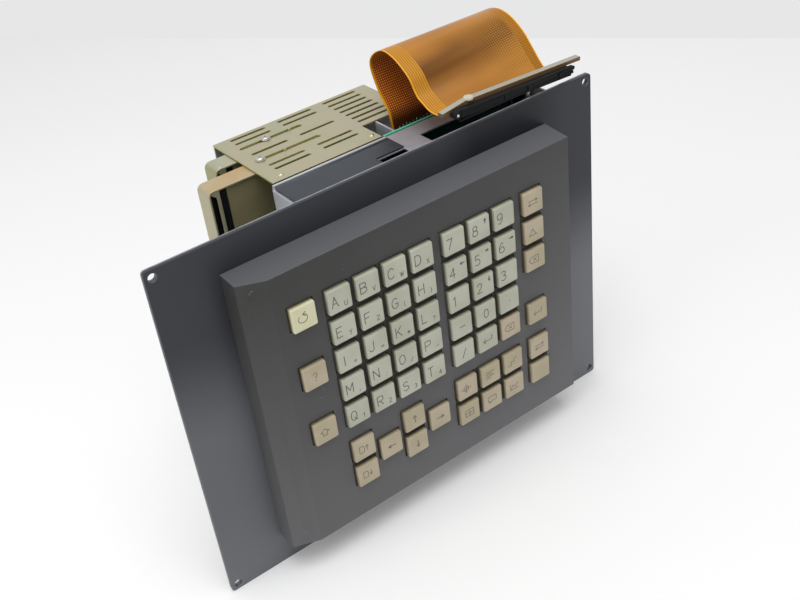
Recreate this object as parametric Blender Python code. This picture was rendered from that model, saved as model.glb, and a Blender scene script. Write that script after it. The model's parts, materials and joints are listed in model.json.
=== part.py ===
"""Keyboard unit of a machine tool's operator panel, as separate solids.

Metres, +X right, +Z up, the keys face -Y. The origin is the middle of the
mounting plate's back face, where the plate seats on its console.
"""
import math

import bmesh
import bpy

# Clearances that several pieces share
FIT_GAP = 0.0003
OVERRUN = 0.002

# Mounting plate
PLATE_WIDTH = 0.290
PLATE_HEIGHT = 0.220
PLATE_THICKNESS = 0.003
PLATE_CORNER_RADIUS = 0.002
HOLE_DIAMETER = 0.005
HOLE_INSET = 0.0043
STANDOFF_DIAMETER = 0.006
ROUND_SIDES = 12
CORNER_STEPS = 3

# Key bezel, a hollow housing on the front of the plate
BEZEL_LEFT = 0.108
BEZEL_TOP = 0.0918
BEZEL_RIGHT_MARGIN = 0.0317
BEZEL_BOTTOM_MARGIN = 0.0320
BEZEL_DEPTH = 0.0205
BEZEL_EDGE_DEPTH = 0.014
BEZEL_SLOPE_WIDTH = 0.015
BEZEL_WALL = 0.0025
BEZEL_DRAFT = 0.064
PILLAR_DIAMETER = 0.006
PILLAR_INSET = 0.008

# Spaces between keys, and the wider ones between groups of keys
KEY_SPACE_X = 0.0033
KEY_SPACE_Z = 0.0043
SINGLE_COLUMN_INSET = 0.0295
UPPER_ROWS_INSET = 0.0294
LETTER_BLOCK_GAP = 0.0037
NUMBER_BLOCK_GAP = 0.0039
EDIT_COLUMN_GAP = 0.0037
LOWER_ROWS_GAP = 0.0071
LETTER_COLUMNS = 4
NUMBER_COLUMNS = 3
UPPER_ROWS = 5

# One key
KEY_SIZE = 0.0146
KEY_TOP_SIZE = 0.0142
KEY_EDGE = 0.0005
KEY_CORNER = 0.0009
KEY_RISE = 0.0030
KEY_TRAVEL = 0.0016
KEY_WALL = 0.0012
KEY_CROWN = 0.0016
KEY_PLAY = 0.0006
FLANGE_REACH = 0.0007
FLANGE_THICKNESS = 0.0010
STEM_SIZE = 0.0036
STEM_LENGTH = 0.0081

# Keyboard board with its switch housings
BOARD_THICKNESS = 0.0016
BOARD_MARGIN = 0.008
SWITCH_SIZE = 0.0110
SWITCH_HEIGHT = 0.0040
SWITCH_WELL = 0.0046
STEM_SPARE = 0.0004
HEADER_WIDTH = 0.040
HEADER_HEIGHT = 0.008
HEADER_X = -0.010
HEADER_Z = -0.025
HEADER_PLAY = 0.001

# Function key mat, one moulding with its caps
MAT_THICKNESS = 0.0015
MAT_MARGIN = 0.0006
MAT_FOOT = 0.004

# Rear chassis, a frame of four walls behind the plate
CHASSIS_LEFT = 0.0516
CHASSIS_RIGHT = 0.128
CHASSIS_TOP = 0.100
CHASSIS_BOTTOM = 0.098
CHASSIS_DEPTH = 0.0401
CHASSIS_WALL = 0.0012
CHASSIS_FLANGE = 0.008
NOTCH_LEFT = 0.0065
NOTCH_RIGHT = 0.0257
NOTCH_DEPTH = 0.0212
BRIDGE_WIDTH = 0.0160
REAR_RIM_DEPTH = 0.0124
RELIEF_WIDTH = 0.0040
RELIEF_DEPTH = 0.0045
TOP_SHEET_THICKNESS = 0.0008
TOP_SHEET_REAR_MARGIN = 0.0058
TOP_SHEET_SIDE_MARGIN = 0.0012

# Board inside the chassis
INNER_BOARD_FRONT = 0.012
INNER_BOARD_LEFT = 0.046
INNER_BOARD_RIGHT = 0.040
INNER_BOARD_TOP = 0.092
INNER_BOARD_BOTTOM = 0.070
INNER_SOCKET_DEPTH = 0.0057
INNER_STANDOFF_INSET = 0.010

# Main board across the back of the chassis
MAIN_BOARD_LEFT = 0.0476
MAIN_BOARD_RIGHT = 0.124
MAIN_BOARD_TOP = 0.0995
MAIN_BOARD_BOTTOM = 0.096

# Card cage and its vent cover
CAGE_LEFT = 0.047
CAGE_RIGHT = 0.061
CAGE_STEP_RIGHT = 0.026
CAGE_STEP_DEPTH = 0.020
CAGE_DEPTH = 0.0672
CAGE_TOP = 0.100
CAGE_FLOOR = 0.050
COVER_THICKNESS = 0.0010
CAGE_WALL = 0.0012
CAGE_FLANGE = 0.010
DIVIDER_X = 0.0345
DIVIDER_DEPTH = 0.0185

# Vents of the cover, in rows counted from its rear edge
VENT_LENGTH = 0.024
VENT_WIDTH = 0.0022
VENT_PITCH_X = 0.0325
VENT_LEFT_MARGIN = 0.0095
VENT_REAR_MARGIN = 0.0038
VENT_FRONT_MARGIN = 0.01364
LONG_SLOT_LEFT_MARGIN = 0.0080
LONG_SLOT_LENGTH = 0.042
LONG_SLOT_WIDTH = 0.0032
SLOT_ROWS = (2.25, 5.5)
SIDE_COLUMN_ROWS = (0, 1, 4, 7, 8)
FULL_COLUMN_ROWS = (0, 1, 2, 3, 4, 5, 6)

# Card carriers, which slide sideways under the cover
CARRIER_WIDTH = 0.0135
CARRIER_LENGTH = 0.088
CARRIER_SHEET = 0.0012
CARRIER_POST_WIDTH = 0.0020
CARRIER_POST_INSET = 0.0048
FRONT_CARRIER_LEFT = 0.0767
REAR_CARRIER_LEFT = 0.0610
SCREW_FROM_LEFT = 0.0392
PIN_FROM_SCREW = 0.0165
SCREW_FROM_FRONT = 0.0095
PIN_DIAMETER = 0.0022
PIN_RISE = 0.0014
SCREW_SHANK_DIAMETER = 0.0022
SCREW_HEAD_DIAMETER = 0.0060
SCREW_HEAD_HEIGHT = 0.0018
SCREW_HEAD_CROWN_SHARE = 0.6
CARD_INSET = 0.0116
CARD_SETBACK = 0.0012
CARD_THICKNESS = 0.0016
CARD_LENGTH = 0.074

# Flat cable with its end board, plug and socket
CABLE_LEFT = 0.043
CABLE_WIDTH = 0.0775
CABLE_THICKNESS = 0.0005
CABLE_RISE = 0.0274
CABLE_STEPS = 36
END_BOARD_LEFT = 0.042
END_BOARD_RIGHT = 0.145
END_BOARD_FRONT = 0.0050
END_BOARD_THICKNESS = 0.0042
END_BOARD_RISE = 0.0177
END_BOARD_HEIGHT = 0.0070
END_BOARD_RIM = 0.0024
END_BOARD_CUT_WIDTH = 0.017
END_BOARD_CUT_HEIGHT = 0.003
END_BOARD_TILT = math.radians(2.3)
PLUG_LEFT = 0.0490
PLUG_RIGHT = 0.1338
PLUG_HEIGHT = 0.0050
PLUG_DEPTH = 0.0041
PLUG_TOP_DROP = 0.0022
PLUG_LIP = 0.0026
SOCKET_MARGIN = 0.002
SOCKET_DEPTH = 0.0185
SOCKET_HEIGHT = 0.012
SOCKET_DROP = 0.0095
SOCKET_SLOT_DEPTH = 0.006
SOCKET_SLOT_WIDTH = 0.0014
SOCKET_SLOT_SETBACK = 0.0041

# Key grid that follows from the sizes above, as insets from the bezel's edges
KEY_PITCH_X = KEY_SIZE + KEY_SPACE_X
KEY_PITCH_Z = KEY_SIZE + KEY_SPACE_Z
FLANGE_SIZE = KEY_SIZE + 2 * FLANGE_REACH
LETTER_BLOCK_INSET = SINGLE_COLUMN_INSET + KEY_PITCH_X + LETTER_BLOCK_GAP
NUMBER_BLOCK_INSET = LETTER_BLOCK_INSET + LETTER_COLUMNS * KEY_PITCH_X + NUMBER_BLOCK_GAP
EDIT_COLUMN_INSET = NUMBER_BLOCK_INSET + NUMBER_COLUMNS * KEY_PITCH_X + EDIT_COLUMN_GAP
LOWER_ROWS_INSET = UPPER_ROWS_INSET + UPPER_ROWS * KEY_PITCH_Z + LOWER_ROWS_GAP
BEZEL_RIGHT = EDIT_COLUMN_INSET + BEZEL_RIGHT_MARGIN - BEZEL_LEFT
BEZEL_BOTTOM = LOWER_ROWS_INSET + KEY_PITCH_Z + BEZEL_BOTTOM_MARGIN - BEZEL_TOP

# Levels that follow from the sizes above
PLATE_FRONT = -PLATE_THICKNESS
BEZEL_BACK = PLATE_FRONT - FIT_GAP
FACE_Y = PLATE_FRONT - BEZEL_DEPTH
FACE_BACK = FACE_Y + BEZEL_WALL
KEY_TOP_Y = FACE_Y - KEY_RISE
FLANGE_FRONT = FACE_BACK + FIT_GAP
FLANGE_BACK = FLANGE_FRONT + FLANGE_THICKNESS
STEM_END = FLANGE_BACK + STEM_LENGTH - FLANGE_THICKNESS
BOARD_FRONT = STEM_END + KEY_TRAVEL + STEM_SPARE
BOARD_BACK = BOARD_FRONT + BOARD_THICKNESS
CHASSIS_FRONT = FIT_GAP
CHASSIS_BACK = CHASSIS_FRONT + CHASSIS_DEPTH
MAIN_BOARD_FRONT = CHASSIS_BACK + FIT_GAP
MAIN_BOARD_BACK = MAIN_BOARD_FRONT + BOARD_THICKNESS
CAGE_FRONT = MAIN_BOARD_BACK + FIT_GAP
CAGE_BACK = CAGE_FRONT + CAGE_DEPTH
VENT_PITCH_Y = (CAGE_DEPTH - VENT_REAR_MARGIN - VENT_FRONT_MARGIN) / SIDE_COLUMN_ROWS[-1]
COVER_BOTTOM = CAGE_TOP - COVER_THICKNESS
CARRIER_TOP = COVER_BOTTOM - FIT_GAP
CARRIER_BOTTOM = -CAGE_FLOOR + CAGE_WALL + FIT_GAP
SOCKET_FRONT = MAIN_BOARD_BACK + FIT_GAP
SOCKET_TOP = MAIN_BOARD_TOP - SOCKET_DROP
END_BOARD_BACK = END_BOARD_FRONT + END_BOARD_THICKNESS
END_BOARD_TOP = CHASSIS_TOP + FIT_GAP + END_BOARD_RISE
CABLE_FRONT_Y = END_BOARD_BACK + FIT_GAP
CABLE_REAR_Y = SOCKET_FRONT + SOCKET_DEPTH - SOCKET_SLOT_SETBACK

# Key groups: first key's column inset, rows inset and row shift, columns, rows
MOVING_KEY_ROWS = {
    "reset": (SINGLE_COLUMN_INSET, UPPER_ROWS_INSET, 0, 1, 1),
    "letter": (LETTER_BLOCK_INSET, UPPER_ROWS_INSET, 0, LETTER_COLUMNS, UPPER_ROWS),
    "number": (NUMBER_BLOCK_INSET, UPPER_ROWS_INSET, 0, NUMBER_COLUMNS, UPPER_ROWS),
    "edit": (EDIT_COLUMN_INSET, UPPER_ROWS_INSET, 0, 1, 3),
    "input": (EDIT_COLUMN_INSET, UPPER_ROWS_INSET, 4, 1, 1),
}
MAT_KEY_ROWS = {
    "help": (SINGLE_COLUMN_INSET, UPPER_ROWS_INSET, 2, 1, 1),
    "shift": (SINGLE_COLUMN_INSET, UPPER_ROWS_INSET, 4, 1, 1),
    "page": (LETTER_BLOCK_INSET, LOWER_ROWS_INSET, 0, 1, 2),
    "cursor_left": (LETTER_BLOCK_INSET + KEY_PITCH_X, LOWER_ROWS_INSET, 0.5, 1, 1),
    "cursor_vertical": (LETTER_BLOCK_INSET + 2 * KEY_PITCH_X, LOWER_ROWS_INSET, 0, 1, 2),
    "cursor_right": (LETTER_BLOCK_INSET + 3 * KEY_PITCH_X, LOWER_ROWS_INSET, 0.5, 1, 1),
    "page_select": (NUMBER_BLOCK_INSET, LOWER_ROWS_INSET, 0, 3, 2),
    "lower_edit": (EDIT_COLUMN_INSET, LOWER_ROWS_INSET, 0, 1, 2),
}
NUMBER_NAMES = (
    "number_key_7", "number_key_8", "number_key_9",
    "number_key_4", "number_key_5", "number_key_6",
    "number_key_1", "number_key_2", "number_key_3",
    "minus_key", "number_key_0", "point_key",
    "slash_key", "end_of_block_key", "cancel_key",
)
EDIT_NAMES = ("alter_key", "insert_key", "delete_key")

# Standoffs on both faces of the plate, as shares of the board they carry
FRONT_STANDOFF_SHARES = ((0.06, 0.05), (0.94, 0.05), (0.06, 0.95), (0.94, 0.95))
INNER_STANDOFF_SHARES = ((0, 0), (1, 0), (0, 1), (1, 1))

# Side views of the cable's two edges: shares of its reach and of its rise
LEFT_EDGE_SHARES = (
    (0.0, -0.06), (0.11, -0.07), (0.21, -0.04), (0.30, 0.04), (0.39, 0.13), (0.45, 0.26),
    (0.50, 0.42), (0.58, 0.56), (0.67, 0.67), (0.76, 0.76), (0.85, 0.82), (0.95, 0.86),
    (1.04, 0.85), (1.15, 0.77), (1.25, 0.64), (1.31, 0.48), (1.31, 0.30), (1.26, 0.06),
    (1.18, -0.20), (1.11, -0.36), (1.04, -0.54), (1.01, -0.77),
)
RIGHT_EDGE_SHARES = (
    (0.0, 0.02), (0.07, 0.14), (0.16, 0.32), (0.22, 0.44), (0.32, 0.63), (0.46, 0.81),
    (0.60, 0.93), (0.75, 0.98), (0.87, 0.96), (0.99, 0.89), (1.13, 0.74), (1.23, 0.55),
    (1.28, 0.33), (1.26, 0.07), (1.19, -0.18), (1.12, -0.37), (1.04, -0.57), (1.01, -0.77),
)


def clear_objects():
    """Removes what the opened scene already holds."""
    for item in list(bpy.data.objects):
        bpy.data.objects.remove(item, do_unlink=True)


def linear(channel):
    """Turns one sRGB channel, 0 to 1, into linear light."""
    if channel <= 0.04045:
        return channel / 12.92
    return ((channel + 0.055) / 1.055) ** 2.4


def make_material(name, code, roughness, metallic=0.0):
    """A Principled material from a six-digit sRGB colour."""
    material = bpy.data.materials.new(name)
    material.use_nodes = True
    shader = material.node_tree.nodes["Principled BSDF"]
    channels = [linear(int(code[i:i + 2], 16) / 255) for i in (0, 2, 4)]
    shader.inputs["Base Color"].default_value = (*channels, 1.0)
    shader.inputs["Roughness"].default_value = roughness
    shader.inputs["Metallic"].default_value = metallic
    return material


def prism(bm, outline, axis, start, end):
    """Adds the solid a flat outline sweeps along one axis.

    The outline's pairs are (y, z) for axis X, (x, z) for Y and (x, y) for Z.
    """
    def place(first, second, along):
        if axis == "X":
            return (along, first, second)
        if axis == "Y":
            return (first, along, second)
        return (first, second, along)

    low = [bm.verts.new(place(a, b, start)) for a, b in outline]
    high = [bm.verts.new(place(a, b, end)) for a, b in outline]
    bm.faces.new(low)
    bm.faces.new(high)
    for i in range(len(outline)):
        j = (i + 1) % len(outline)
        bm.faces.new((low[i], low[j], high[j], high[i]))


def box(bm, x_pair, y_pair, z_pair):
    """Adds a block between pairs of levels along each axis."""
    corners = [(x_pair[i], z_pair[j]) for i, j in ((0, 0), (1, 0), (1, 1), (0, 1))]
    prism(bm, corners, "Y", y_pair[0], y_pair[1])


def circle(centre, diameter, sides=ROUND_SIDES):
    """Points round a circle."""
    turn = 2 * math.pi / sides
    return [
        (centre[0] + diameter / 2 * math.cos(turn * (i + 0.5)),
         centre[1] + diameter / 2 * math.sin(turn * (i + 0.5)))
        for i in range(sides)
    ]


def rounded(x_pair, z_pair, radius):
    """A rectangle with arcs of CORNER_STEPS steps at its corners."""
    points = []
    corners = (
        (x_pair[1] - radius, z_pair[1] - radius, 0),
        (x_pair[0] + radius, z_pair[1] - radius, 1),
        (x_pair[0] + radius, z_pair[0] + radius, 2),
        (x_pair[1] - radius, z_pair[0] + radius, 3),
    )
    for x, z, quarter in corners:
        for step in range(CORNER_STEPS + 1):
            angle = math.pi / 2 * (quarter + step / CORNER_STEPS)
            points.append((x + radius * math.cos(angle), z + radius * math.sin(angle)))
    return points


def vent_outline(left, middle, length, width):
    """A slot with chamfered ends, as seen from above."""
    chamfer = width / 3
    right = left + length
    low = middle - width / 2
    high = middle + width / 2
    return [
        (left, low + chamfer), (left + chamfer, low),
        (right - chamfer, low), (right, low + chamfer),
        (right, high - chamfer), (right - chamfer, high),
        (left + chamfer, high), (left, high - chamfer),
    ]


def finish(bm, name, material=None, smooth=False):
    """Turns a bmesh into an object with its faces pointing out."""
    bmesh.ops.recalc_face_normals(bm, faces=bm.faces)
    mesh = bpy.data.meshes.new(name)
    bm.to_mesh(mesh)
    bm.free()
    if material:
        mesh.materials.append(material)
    if smooth:
        mesh.shade_smooth()
        mesh.set_sharp_from_angle(angle=math.radians(40))
    item = bpy.data.objects.new(name, mesh)
    bpy.context.scene.collection.objects.link(item)
    return item


def combine(target, operation, name, bm):
    """Cuts a bmesh out of an object, or joins it on, with a Boolean."""
    tool = finish(bm, name)
    tool.hide_render = True
    tool.display_type = "WIRE"
    modifier = target.modifiers.new(name, "BOOLEAN")
    modifier.operation = operation
    modifier.object = tool
    modifier.solver = "EXACT"


def cut(target, name, bm):
    """Cuts a bmesh out of an object."""
    combine(target, "DIFFERENCE", name, bm)


def join(target, name, bm):
    """Joins a bmesh onto an object."""
    combine(target, "UNION", name, bm)


def key_centres(group):
    """Centres of a group's keys, row by row from its upper left."""
    column, inset, shift, columns, rows = group
    return [
        (-BEZEL_LEFT + column + KEY_PITCH_X * j,
         BEZEL_TOP - inset - KEY_PITCH_Z * (shift + i))
        for i in range(rows) for j in range(columns)
    ]


def group_frame(group, margin):
    """The rectangle round a group's keys, a margin outside them."""
    centres = key_centres(group)
    reach = KEY_SIZE / 2 + margin
    xs = [x for x, z in centres]
    zs = [z for x, z in centres]
    return (min(xs) - reach, max(xs) + reach), (min(zs) - reach, max(zs) + reach)


def square_ring(bm, centre, size, y, corner=0.0):
    """Points of a square at one depth, with cut corners if asked."""
    half = size / 2
    if corner == 0.0:
        signs = ((1, 1), (-1, 1), (-1, -1), (1, -1))
        flat = [(half * a, half * b) for a, b in signs]
    else:
        inner = half - corner
        flat = [
            (half, inner), (inner, half), (-inner, half), (-half, inner),
            (-half, -inner), (-inner, -half), (inner, -half), (half, -inner),
        ]
    return [bm.verts.new((centre[0] + a, y, centre[1] + b)) for a, b in flat]


def bridge(bm, first, second):
    """Joins two rings of points that match one to one."""
    for i in range(len(first)):
        j = (i + 1) % len(first)
        bm.faces.new((first[i], first[j], second[j], second[i]))


def cap_rings(bm, centre, back):
    """The outer rings of a key cap, from its top down to a level."""
    top = square_ring(bm, centre, KEY_TOP_SIZE - 2 * KEY_EDGE, KEY_TOP_Y, KEY_CORNER)
    edge = square_ring(bm, centre, KEY_TOP_SIZE, KEY_TOP_Y + KEY_EDGE, KEY_CORNER)
    base = square_ring(bm, centre, KEY_SIZE, back, KEY_CORNER)
    bm.faces.new(top)
    bridge(bm, top, edge)
    bridge(bm, edge, base)
    return base


def build_key_mesh(name, material):
    """A hollow cap with its flange and stem, centred on the stem."""
    bm = bmesh.new()
    middle = (0.0, 0.0)
    base = cap_rings(bm, middle, FLANGE_FRONT)
    flange = square_ring(bm, middle, FLANGE_SIZE, FLANGE_FRONT, KEY_CORNER)
    rim = square_ring(bm, middle, FLANGE_SIZE, FLANGE_BACK, KEY_CORNER)
    bridge(bm, base, flange)
    bridge(bm, flange, rim)
    pocket = square_ring(bm, middle, KEY_SIZE - 2 * KEY_WALL, FLANGE_BACK)
    for i in range(4):
        j = (i + 1) % 4
        bm.faces.new((pocket[i], rim[2 * i], rim[2 * i + 1]))
        bm.faces.new((pocket[i], rim[2 * i + 1], rim[2 * j], pocket[j]))
    ceiling_y = KEY_TOP_Y + KEY_CROWN
    ceiling = square_ring(bm, middle, KEY_TOP_SIZE - 2 * KEY_WALL, ceiling_y)
    root = square_ring(bm, middle, STEM_SIZE, ceiling_y)
    tip = square_ring(bm, middle, STEM_SIZE, STEM_END)
    bridge(bm, pocket, ceiling)
    bridge(bm, ceiling, root)
    bridge(bm, root, tip)
    bm.faces.new(tip)
    bmesh.ops.recalc_face_normals(bm, faces=bm.faces)
    mesh = bpy.data.meshes.new(name)
    bm.to_mesh(mesh)
    bm.free()
    mesh.materials.append(material)
    return mesh


def place_keys(names, group, mesh):
    """One object for each key of a group, its origin on its own axis."""
    for name, (x, z) in zip(names, key_centres(group)):
        item = bpy.data.objects.new(name, mesh)
        item.location = (x, 0.0, z)
        bpy.context.scene.collection.objects.link(item)


def build_plate(material):
    """Flat plate with corner holes, a window and standoffs on both faces."""
    bm = bmesh.new()
    half_width = PLATE_WIDTH / 2
    half_height = PLATE_HEIGHT / 2
    outline = rounded((-half_width, half_width), (-half_height, half_height),
                      PLATE_CORNER_RADIUS)
    prism(bm, outline, "Y", PLATE_FRONT, 0.0)
    plate = finish(bm, "mounting_plate", material)
    cuts = bmesh.new()
    for sign_x in (-1, 1):
        for sign_z in (-1, 1):
            centre = (sign_x * (half_width - HOLE_INSET), sign_z * (half_height - HOLE_INSET))
            prism(cuts, circle(centre, HOLE_DIAMETER), "Y", PLATE_FRONT - OVERRUN, OVERRUN)
    reach_x = HEADER_WIDTH / 2 + HEADER_PLAY
    reach_z = HEADER_HEIGHT / 2 + HEADER_PLAY
    box(cuts, (HEADER_X - reach_x, HEADER_X + reach_x), (PLATE_FRONT - OVERRUN, OVERRUN),
        (HEADER_Z - reach_z, HEADER_Z + reach_z))
    cut(plate, "plate_cuts", cuts)
    posts = bmesh.new()
    x_pair, z_pair = board_frame()
    for share_x, share_z in FRONT_STANDOFF_SHARES:
        centre = (x_pair[0] + share_x * (x_pair[1] - x_pair[0]),
                  z_pair[0] + share_z * (z_pair[1] - z_pair[0]))
        prism(posts, circle(centre, STANDOFF_DIAMETER, 8), "Y", BOARD_BACK + FIT_GAP,
              PLATE_FRONT + PLATE_THICKNESS / 2)
    for share_x, share_z in INNER_STANDOFF_SHARES:
        left = -INNER_BOARD_LEFT + INNER_STANDOFF_INSET
        right = INNER_BOARD_RIGHT - INNER_STANDOFF_INSET
        low = -INNER_BOARD_BOTTOM + INNER_STANDOFF_INSET
        high = INNER_BOARD_TOP - INNER_STANDOFF_INSET
        centre = (left + share_x * (right - left), low + share_z * (high - low))
        prism(posts, circle(centre, STANDOFF_DIAMETER, 8), "Y",
              -PLATE_THICKNESS / 2, INNER_BOARD_FRONT - FIT_GAP)
    join(plate, "plate_posts", posts)


def slope_y(x):
    """Depth of the bezel's outer face at one place across it."""
    full = -BEZEL_LEFT + BEZEL_SLOPE_WIDTH
    if x >= full:
        return FACE_Y
    return FACE_Y + (full - x) / BEZEL_SLOPE_WIDTH * (BEZEL_DEPTH - BEZEL_EDGE_DEPTH)


def lean_walls(bm):
    """Leans the bezel's top, bottom and right walls inwards towards its face."""
    for vert in bm.verts:
        lean = BEZEL_DRAFT * (BEZEL_BACK - vert.co.y)
        vert.co.z -= math.copysign(lean, vert.co.z)
        if vert.co.x > 0:
            vert.co.x -= lean


def build_bezel(material):
    """Hollow housing with a sloping left edge and a window round each key group."""
    full = -BEZEL_LEFT + BEZEL_SLOPE_WIDTH
    bm = bmesh.new()
    outline = [
        (-BEZEL_LEFT, BEZEL_BACK), (-BEZEL_LEFT, slope_y(-BEZEL_LEFT)), (full, FACE_Y),
        (BEZEL_RIGHT, FACE_Y), (BEZEL_RIGHT, BEZEL_BACK),
    ]
    prism(bm, outline, "Z", -BEZEL_BOTTOM, BEZEL_TOP)
    lean_walls(bm)
    bezel = finish(bm, "key_bezel", material)
    steepness = (BEZEL_DEPTH - BEZEL_EDGE_DEPTH) / BEZEL_SLOPE_WIDTH
    wall_y = BEZEL_WALL * math.hypot(1, steepness)
    left = -BEZEL_LEFT + BEZEL_WALL
    turn = full + (wall_y - BEZEL_WALL) / steepness
    inner = [
        (left, BEZEL_BACK + OVERRUN), (left, slope_y(left) + wall_y), (turn, FACE_BACK),
        (BEZEL_RIGHT - BEZEL_WALL, FACE_BACK), (BEZEL_RIGHT - BEZEL_WALL, BEZEL_BACK + OVERRUN),
    ]
    hollow = bmesh.new()
    prism(hollow, inner, "Z", -BEZEL_BOTTOM + BEZEL_WALL, BEZEL_TOP - BEZEL_WALL)
    lean_walls(hollow)
    cut(bezel, "bezel_hollow", hollow)
    windows = bmesh.new()
    for group in (*MOVING_KEY_ROWS.values(), *MAT_KEY_ROWS.values()):
        x_pair, z_pair = group_frame(group, KEY_PLAY)
        box(windows, x_pair, (FACE_Y - OVERRUN, FACE_BACK + OVERRUN), z_pair)
    cut(bezel, "bezel_windows", windows)
    pillars = bmesh.new()
    for x in (-BEZEL_LEFT + PILLAR_INSET, BEZEL_RIGHT - PILLAR_INSET):
        for z in (-BEZEL_BOTTOM + PILLAR_INSET, BEZEL_TOP - PILLAR_INSET):
            start = slope_y(x + PILLAR_DIAMETER / 2) + BEZEL_WALL / 2
            prism(pillars, circle((x, z), PILLAR_DIAMETER, 8), "Y", start, BEZEL_BACK)
    join(bezel, "bezel_pillars", pillars)


def board_frame():
    """The keyboard board's rectangle, a margin outside the outermost keys."""
    groups = (*MOVING_KEY_ROWS.values(), *MAT_KEY_ROWS.values())
    frames = [group_frame(group, 0.0) for group in groups]
    x_pair = (min(f[0][0] for f in frames) - BOARD_MARGIN / 2,
              max(f[0][1] for f in frames) + BOARD_MARGIN)
    z_pair = (min(f[1][0] for f in frames) - BOARD_MARGIN,
              max(f[1][1] for f in frames) + BOARD_MARGIN)
    return x_pair, z_pair


def build_keyboard_board(material):
    """Circuit board with one open switch housing for each moving key."""
    x_pair, z_pair = board_frame()
    bm = bmesh.new()
    box(bm, x_pair, (BOARD_FRONT, BOARD_BACK), z_pair)
    board = finish(bm, "keyboard_board", material)
    switches = bmesh.new()
    wells = bmesh.new()
    half = SWITCH_SIZE / 2
    well = SWITCH_WELL / 2
    for group in MOVING_KEY_ROWS.values():
        for x, z in key_centres(group):
            box(switches, (x - half, x + half),
                (BOARD_FRONT - SWITCH_HEIGHT, BOARD_FRONT + BOARD_THICKNESS / 2),
                (z - half, z + half))
            box(wells, (x - well, x + well),
                (BOARD_FRONT - SWITCH_HEIGHT - OVERRUN, BOARD_FRONT), (z - well, z + well))
    box(switches, (HEADER_X - HEADER_WIDTH / 2, HEADER_X + HEADER_WIDTH / 2),
        (BOARD_BACK - BOARD_THICKNESS / 2, INNER_BOARD_FRONT - INNER_SOCKET_DEPTH - FIT_GAP),
        (HEADER_Z - HEADER_HEIGHT / 2, HEADER_Z + HEADER_HEIGHT / 2))
    join(board, "board_switches", switches)
    cut(board, "board_wells", wells)


def build_function_mat(material):
    """L-shaped moulding with the caps of the page, cursor and select keys."""
    column_x, column_z = group_frame(MAT_KEY_ROWS["help"], MAT_MARGIN)
    low_x, low_z = group_frame(MAT_KEY_ROWS["lower_edit"], MAT_MARGIN)
    sheet_back = FLANGE_BACK + KEY_TRAVEL + FIT_GAP + MAT_THICKNESS
    sheet_front = sheet_back - MAT_THICKNESS
    outline = [
        (column_x[0], low_z[0]), (low_x[1], low_z[0]), (low_x[1], low_z[1]),
        (column_x[1], low_z[1]), (column_x[1], column_z[1]), (column_x[0], column_z[1]),
    ]
    bm = bmesh.new()
    prism(bm, outline, "Y", sheet_front, sheet_back)
    mat = finish(bm, "function_key_mat", material)
    caps = bmesh.new()
    feet = bmesh.new()
    half = MAT_FOOT / 2
    for group in MAT_KEY_ROWS.values():
        for x, z in key_centres(group):
            base = cap_rings(caps, (x, z), sheet_front + MAT_THICKNESS / 2)
            caps.faces.new(base)
            box(feet, (x - half, x + half),
                (sheet_back - MAT_THICKNESS / 2, BOARD_FRONT - FIT_GAP), (z - half, z + half))
    join(mat, "mat_caps", caps)
    join(mat, "mat_feet", feet)


def build_chassis(material):
    """Frame of four walls with flanges at both rims and openings in its top."""
    bm = bmesh.new()
    box(bm, (-CHASSIS_LEFT, CHASSIS_RIGHT), (CHASSIS_FRONT, CHASSIS_BACK),
        (-CHASSIS_BOTTOM, CHASSIS_TOP))
    chassis = finish(bm, "rear_chassis", material)
    hollow = bmesh.new()
    wall = CHASSIS_WALL
    box(hollow, (-CHASSIS_LEFT + wall, CHASSIS_RIGHT - wall),
        (CHASSIS_FRONT + wall, CHASSIS_BACK - wall), (-CHASSIS_BOTTOM + wall, CHASSIS_TOP - wall))
    cut(chassis, "chassis_hollow", hollow)
    mouths = bmesh.new()
    rim = CHASSIS_FLANGE
    box(mouths, (-CHASSIS_LEFT + rim, CHASSIS_RIGHT - rim),
        (CHASSIS_FRONT - OVERRUN, CHASSIS_BACK + OVERRUN), (-CHASSIS_BOTTOM + rim, CHASSIS_TOP - rim))
    cut(chassis, "chassis_mouths", mouths)
    openings = bmesh.new()
    box(openings, (NOTCH_LEFT, NOTCH_RIGHT),
        (CHASSIS_FRONT - OVERRUN, NOTCH_DEPTH), (CHASSIS_TOP - rim - OVERRUN, CHASSIS_TOP + OVERRUN))
    box(openings, (NOTCH_RIGHT + BRIDGE_WIDTH, CHASSIS_RIGHT - wall),
        (CHASSIS_FRONT - OVERRUN, CHASSIS_BACK - REAR_RIM_DEPTH),
        (CHASSIS_TOP - rim - OVERRUN, CHASSIS_TOP + OVERRUN))
    cut(chassis, "chassis_openings", openings)
    reliefs = bmesh.new()
    for x_pair in ((-CHASSIS_LEFT - OVERRUN, -CHASSIS_LEFT + RELIEF_WIDTH),
                   (CHASSIS_RIGHT - RELIEF_WIDTH, CHASSIS_RIGHT + OVERRUN)):
        box(reliefs, x_pair, (CHASSIS_BACK - RELIEF_DEPTH, CHASSIS_BACK + OVERRUN),
            (-CHASSIS_BOTTOM - OVERRUN, CHASSIS_TOP + OVERRUN))
    cut(chassis, "chassis_reliefs", reliefs)


def build_top_sheet(material):
    """Thin sheet on the chassis's top, cut away round the notch."""
    left = -CHASSIS_LEFT + TOP_SHEET_SIDE_MARGIN
    front = CHASSIS_FRONT + FIT_GAP
    back = CHASSIS_BACK - TOP_SHEET_REAR_MARGIN
    outline = [
        (left, front), (NOTCH_LEFT, front), (NOTCH_LEFT, NOTCH_DEPTH),
        (NOTCH_RIGHT, NOTCH_DEPTH), (NOTCH_RIGHT, back), (left, back),
    ]
    bm = bmesh.new()
    bottom = CHASSIS_TOP + FIT_GAP
    prism(bm, outline, "Z", bottom, bottom + TOP_SHEET_THICKNESS)
    finish(bm, "chassis_top_sheet", material)


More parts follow.
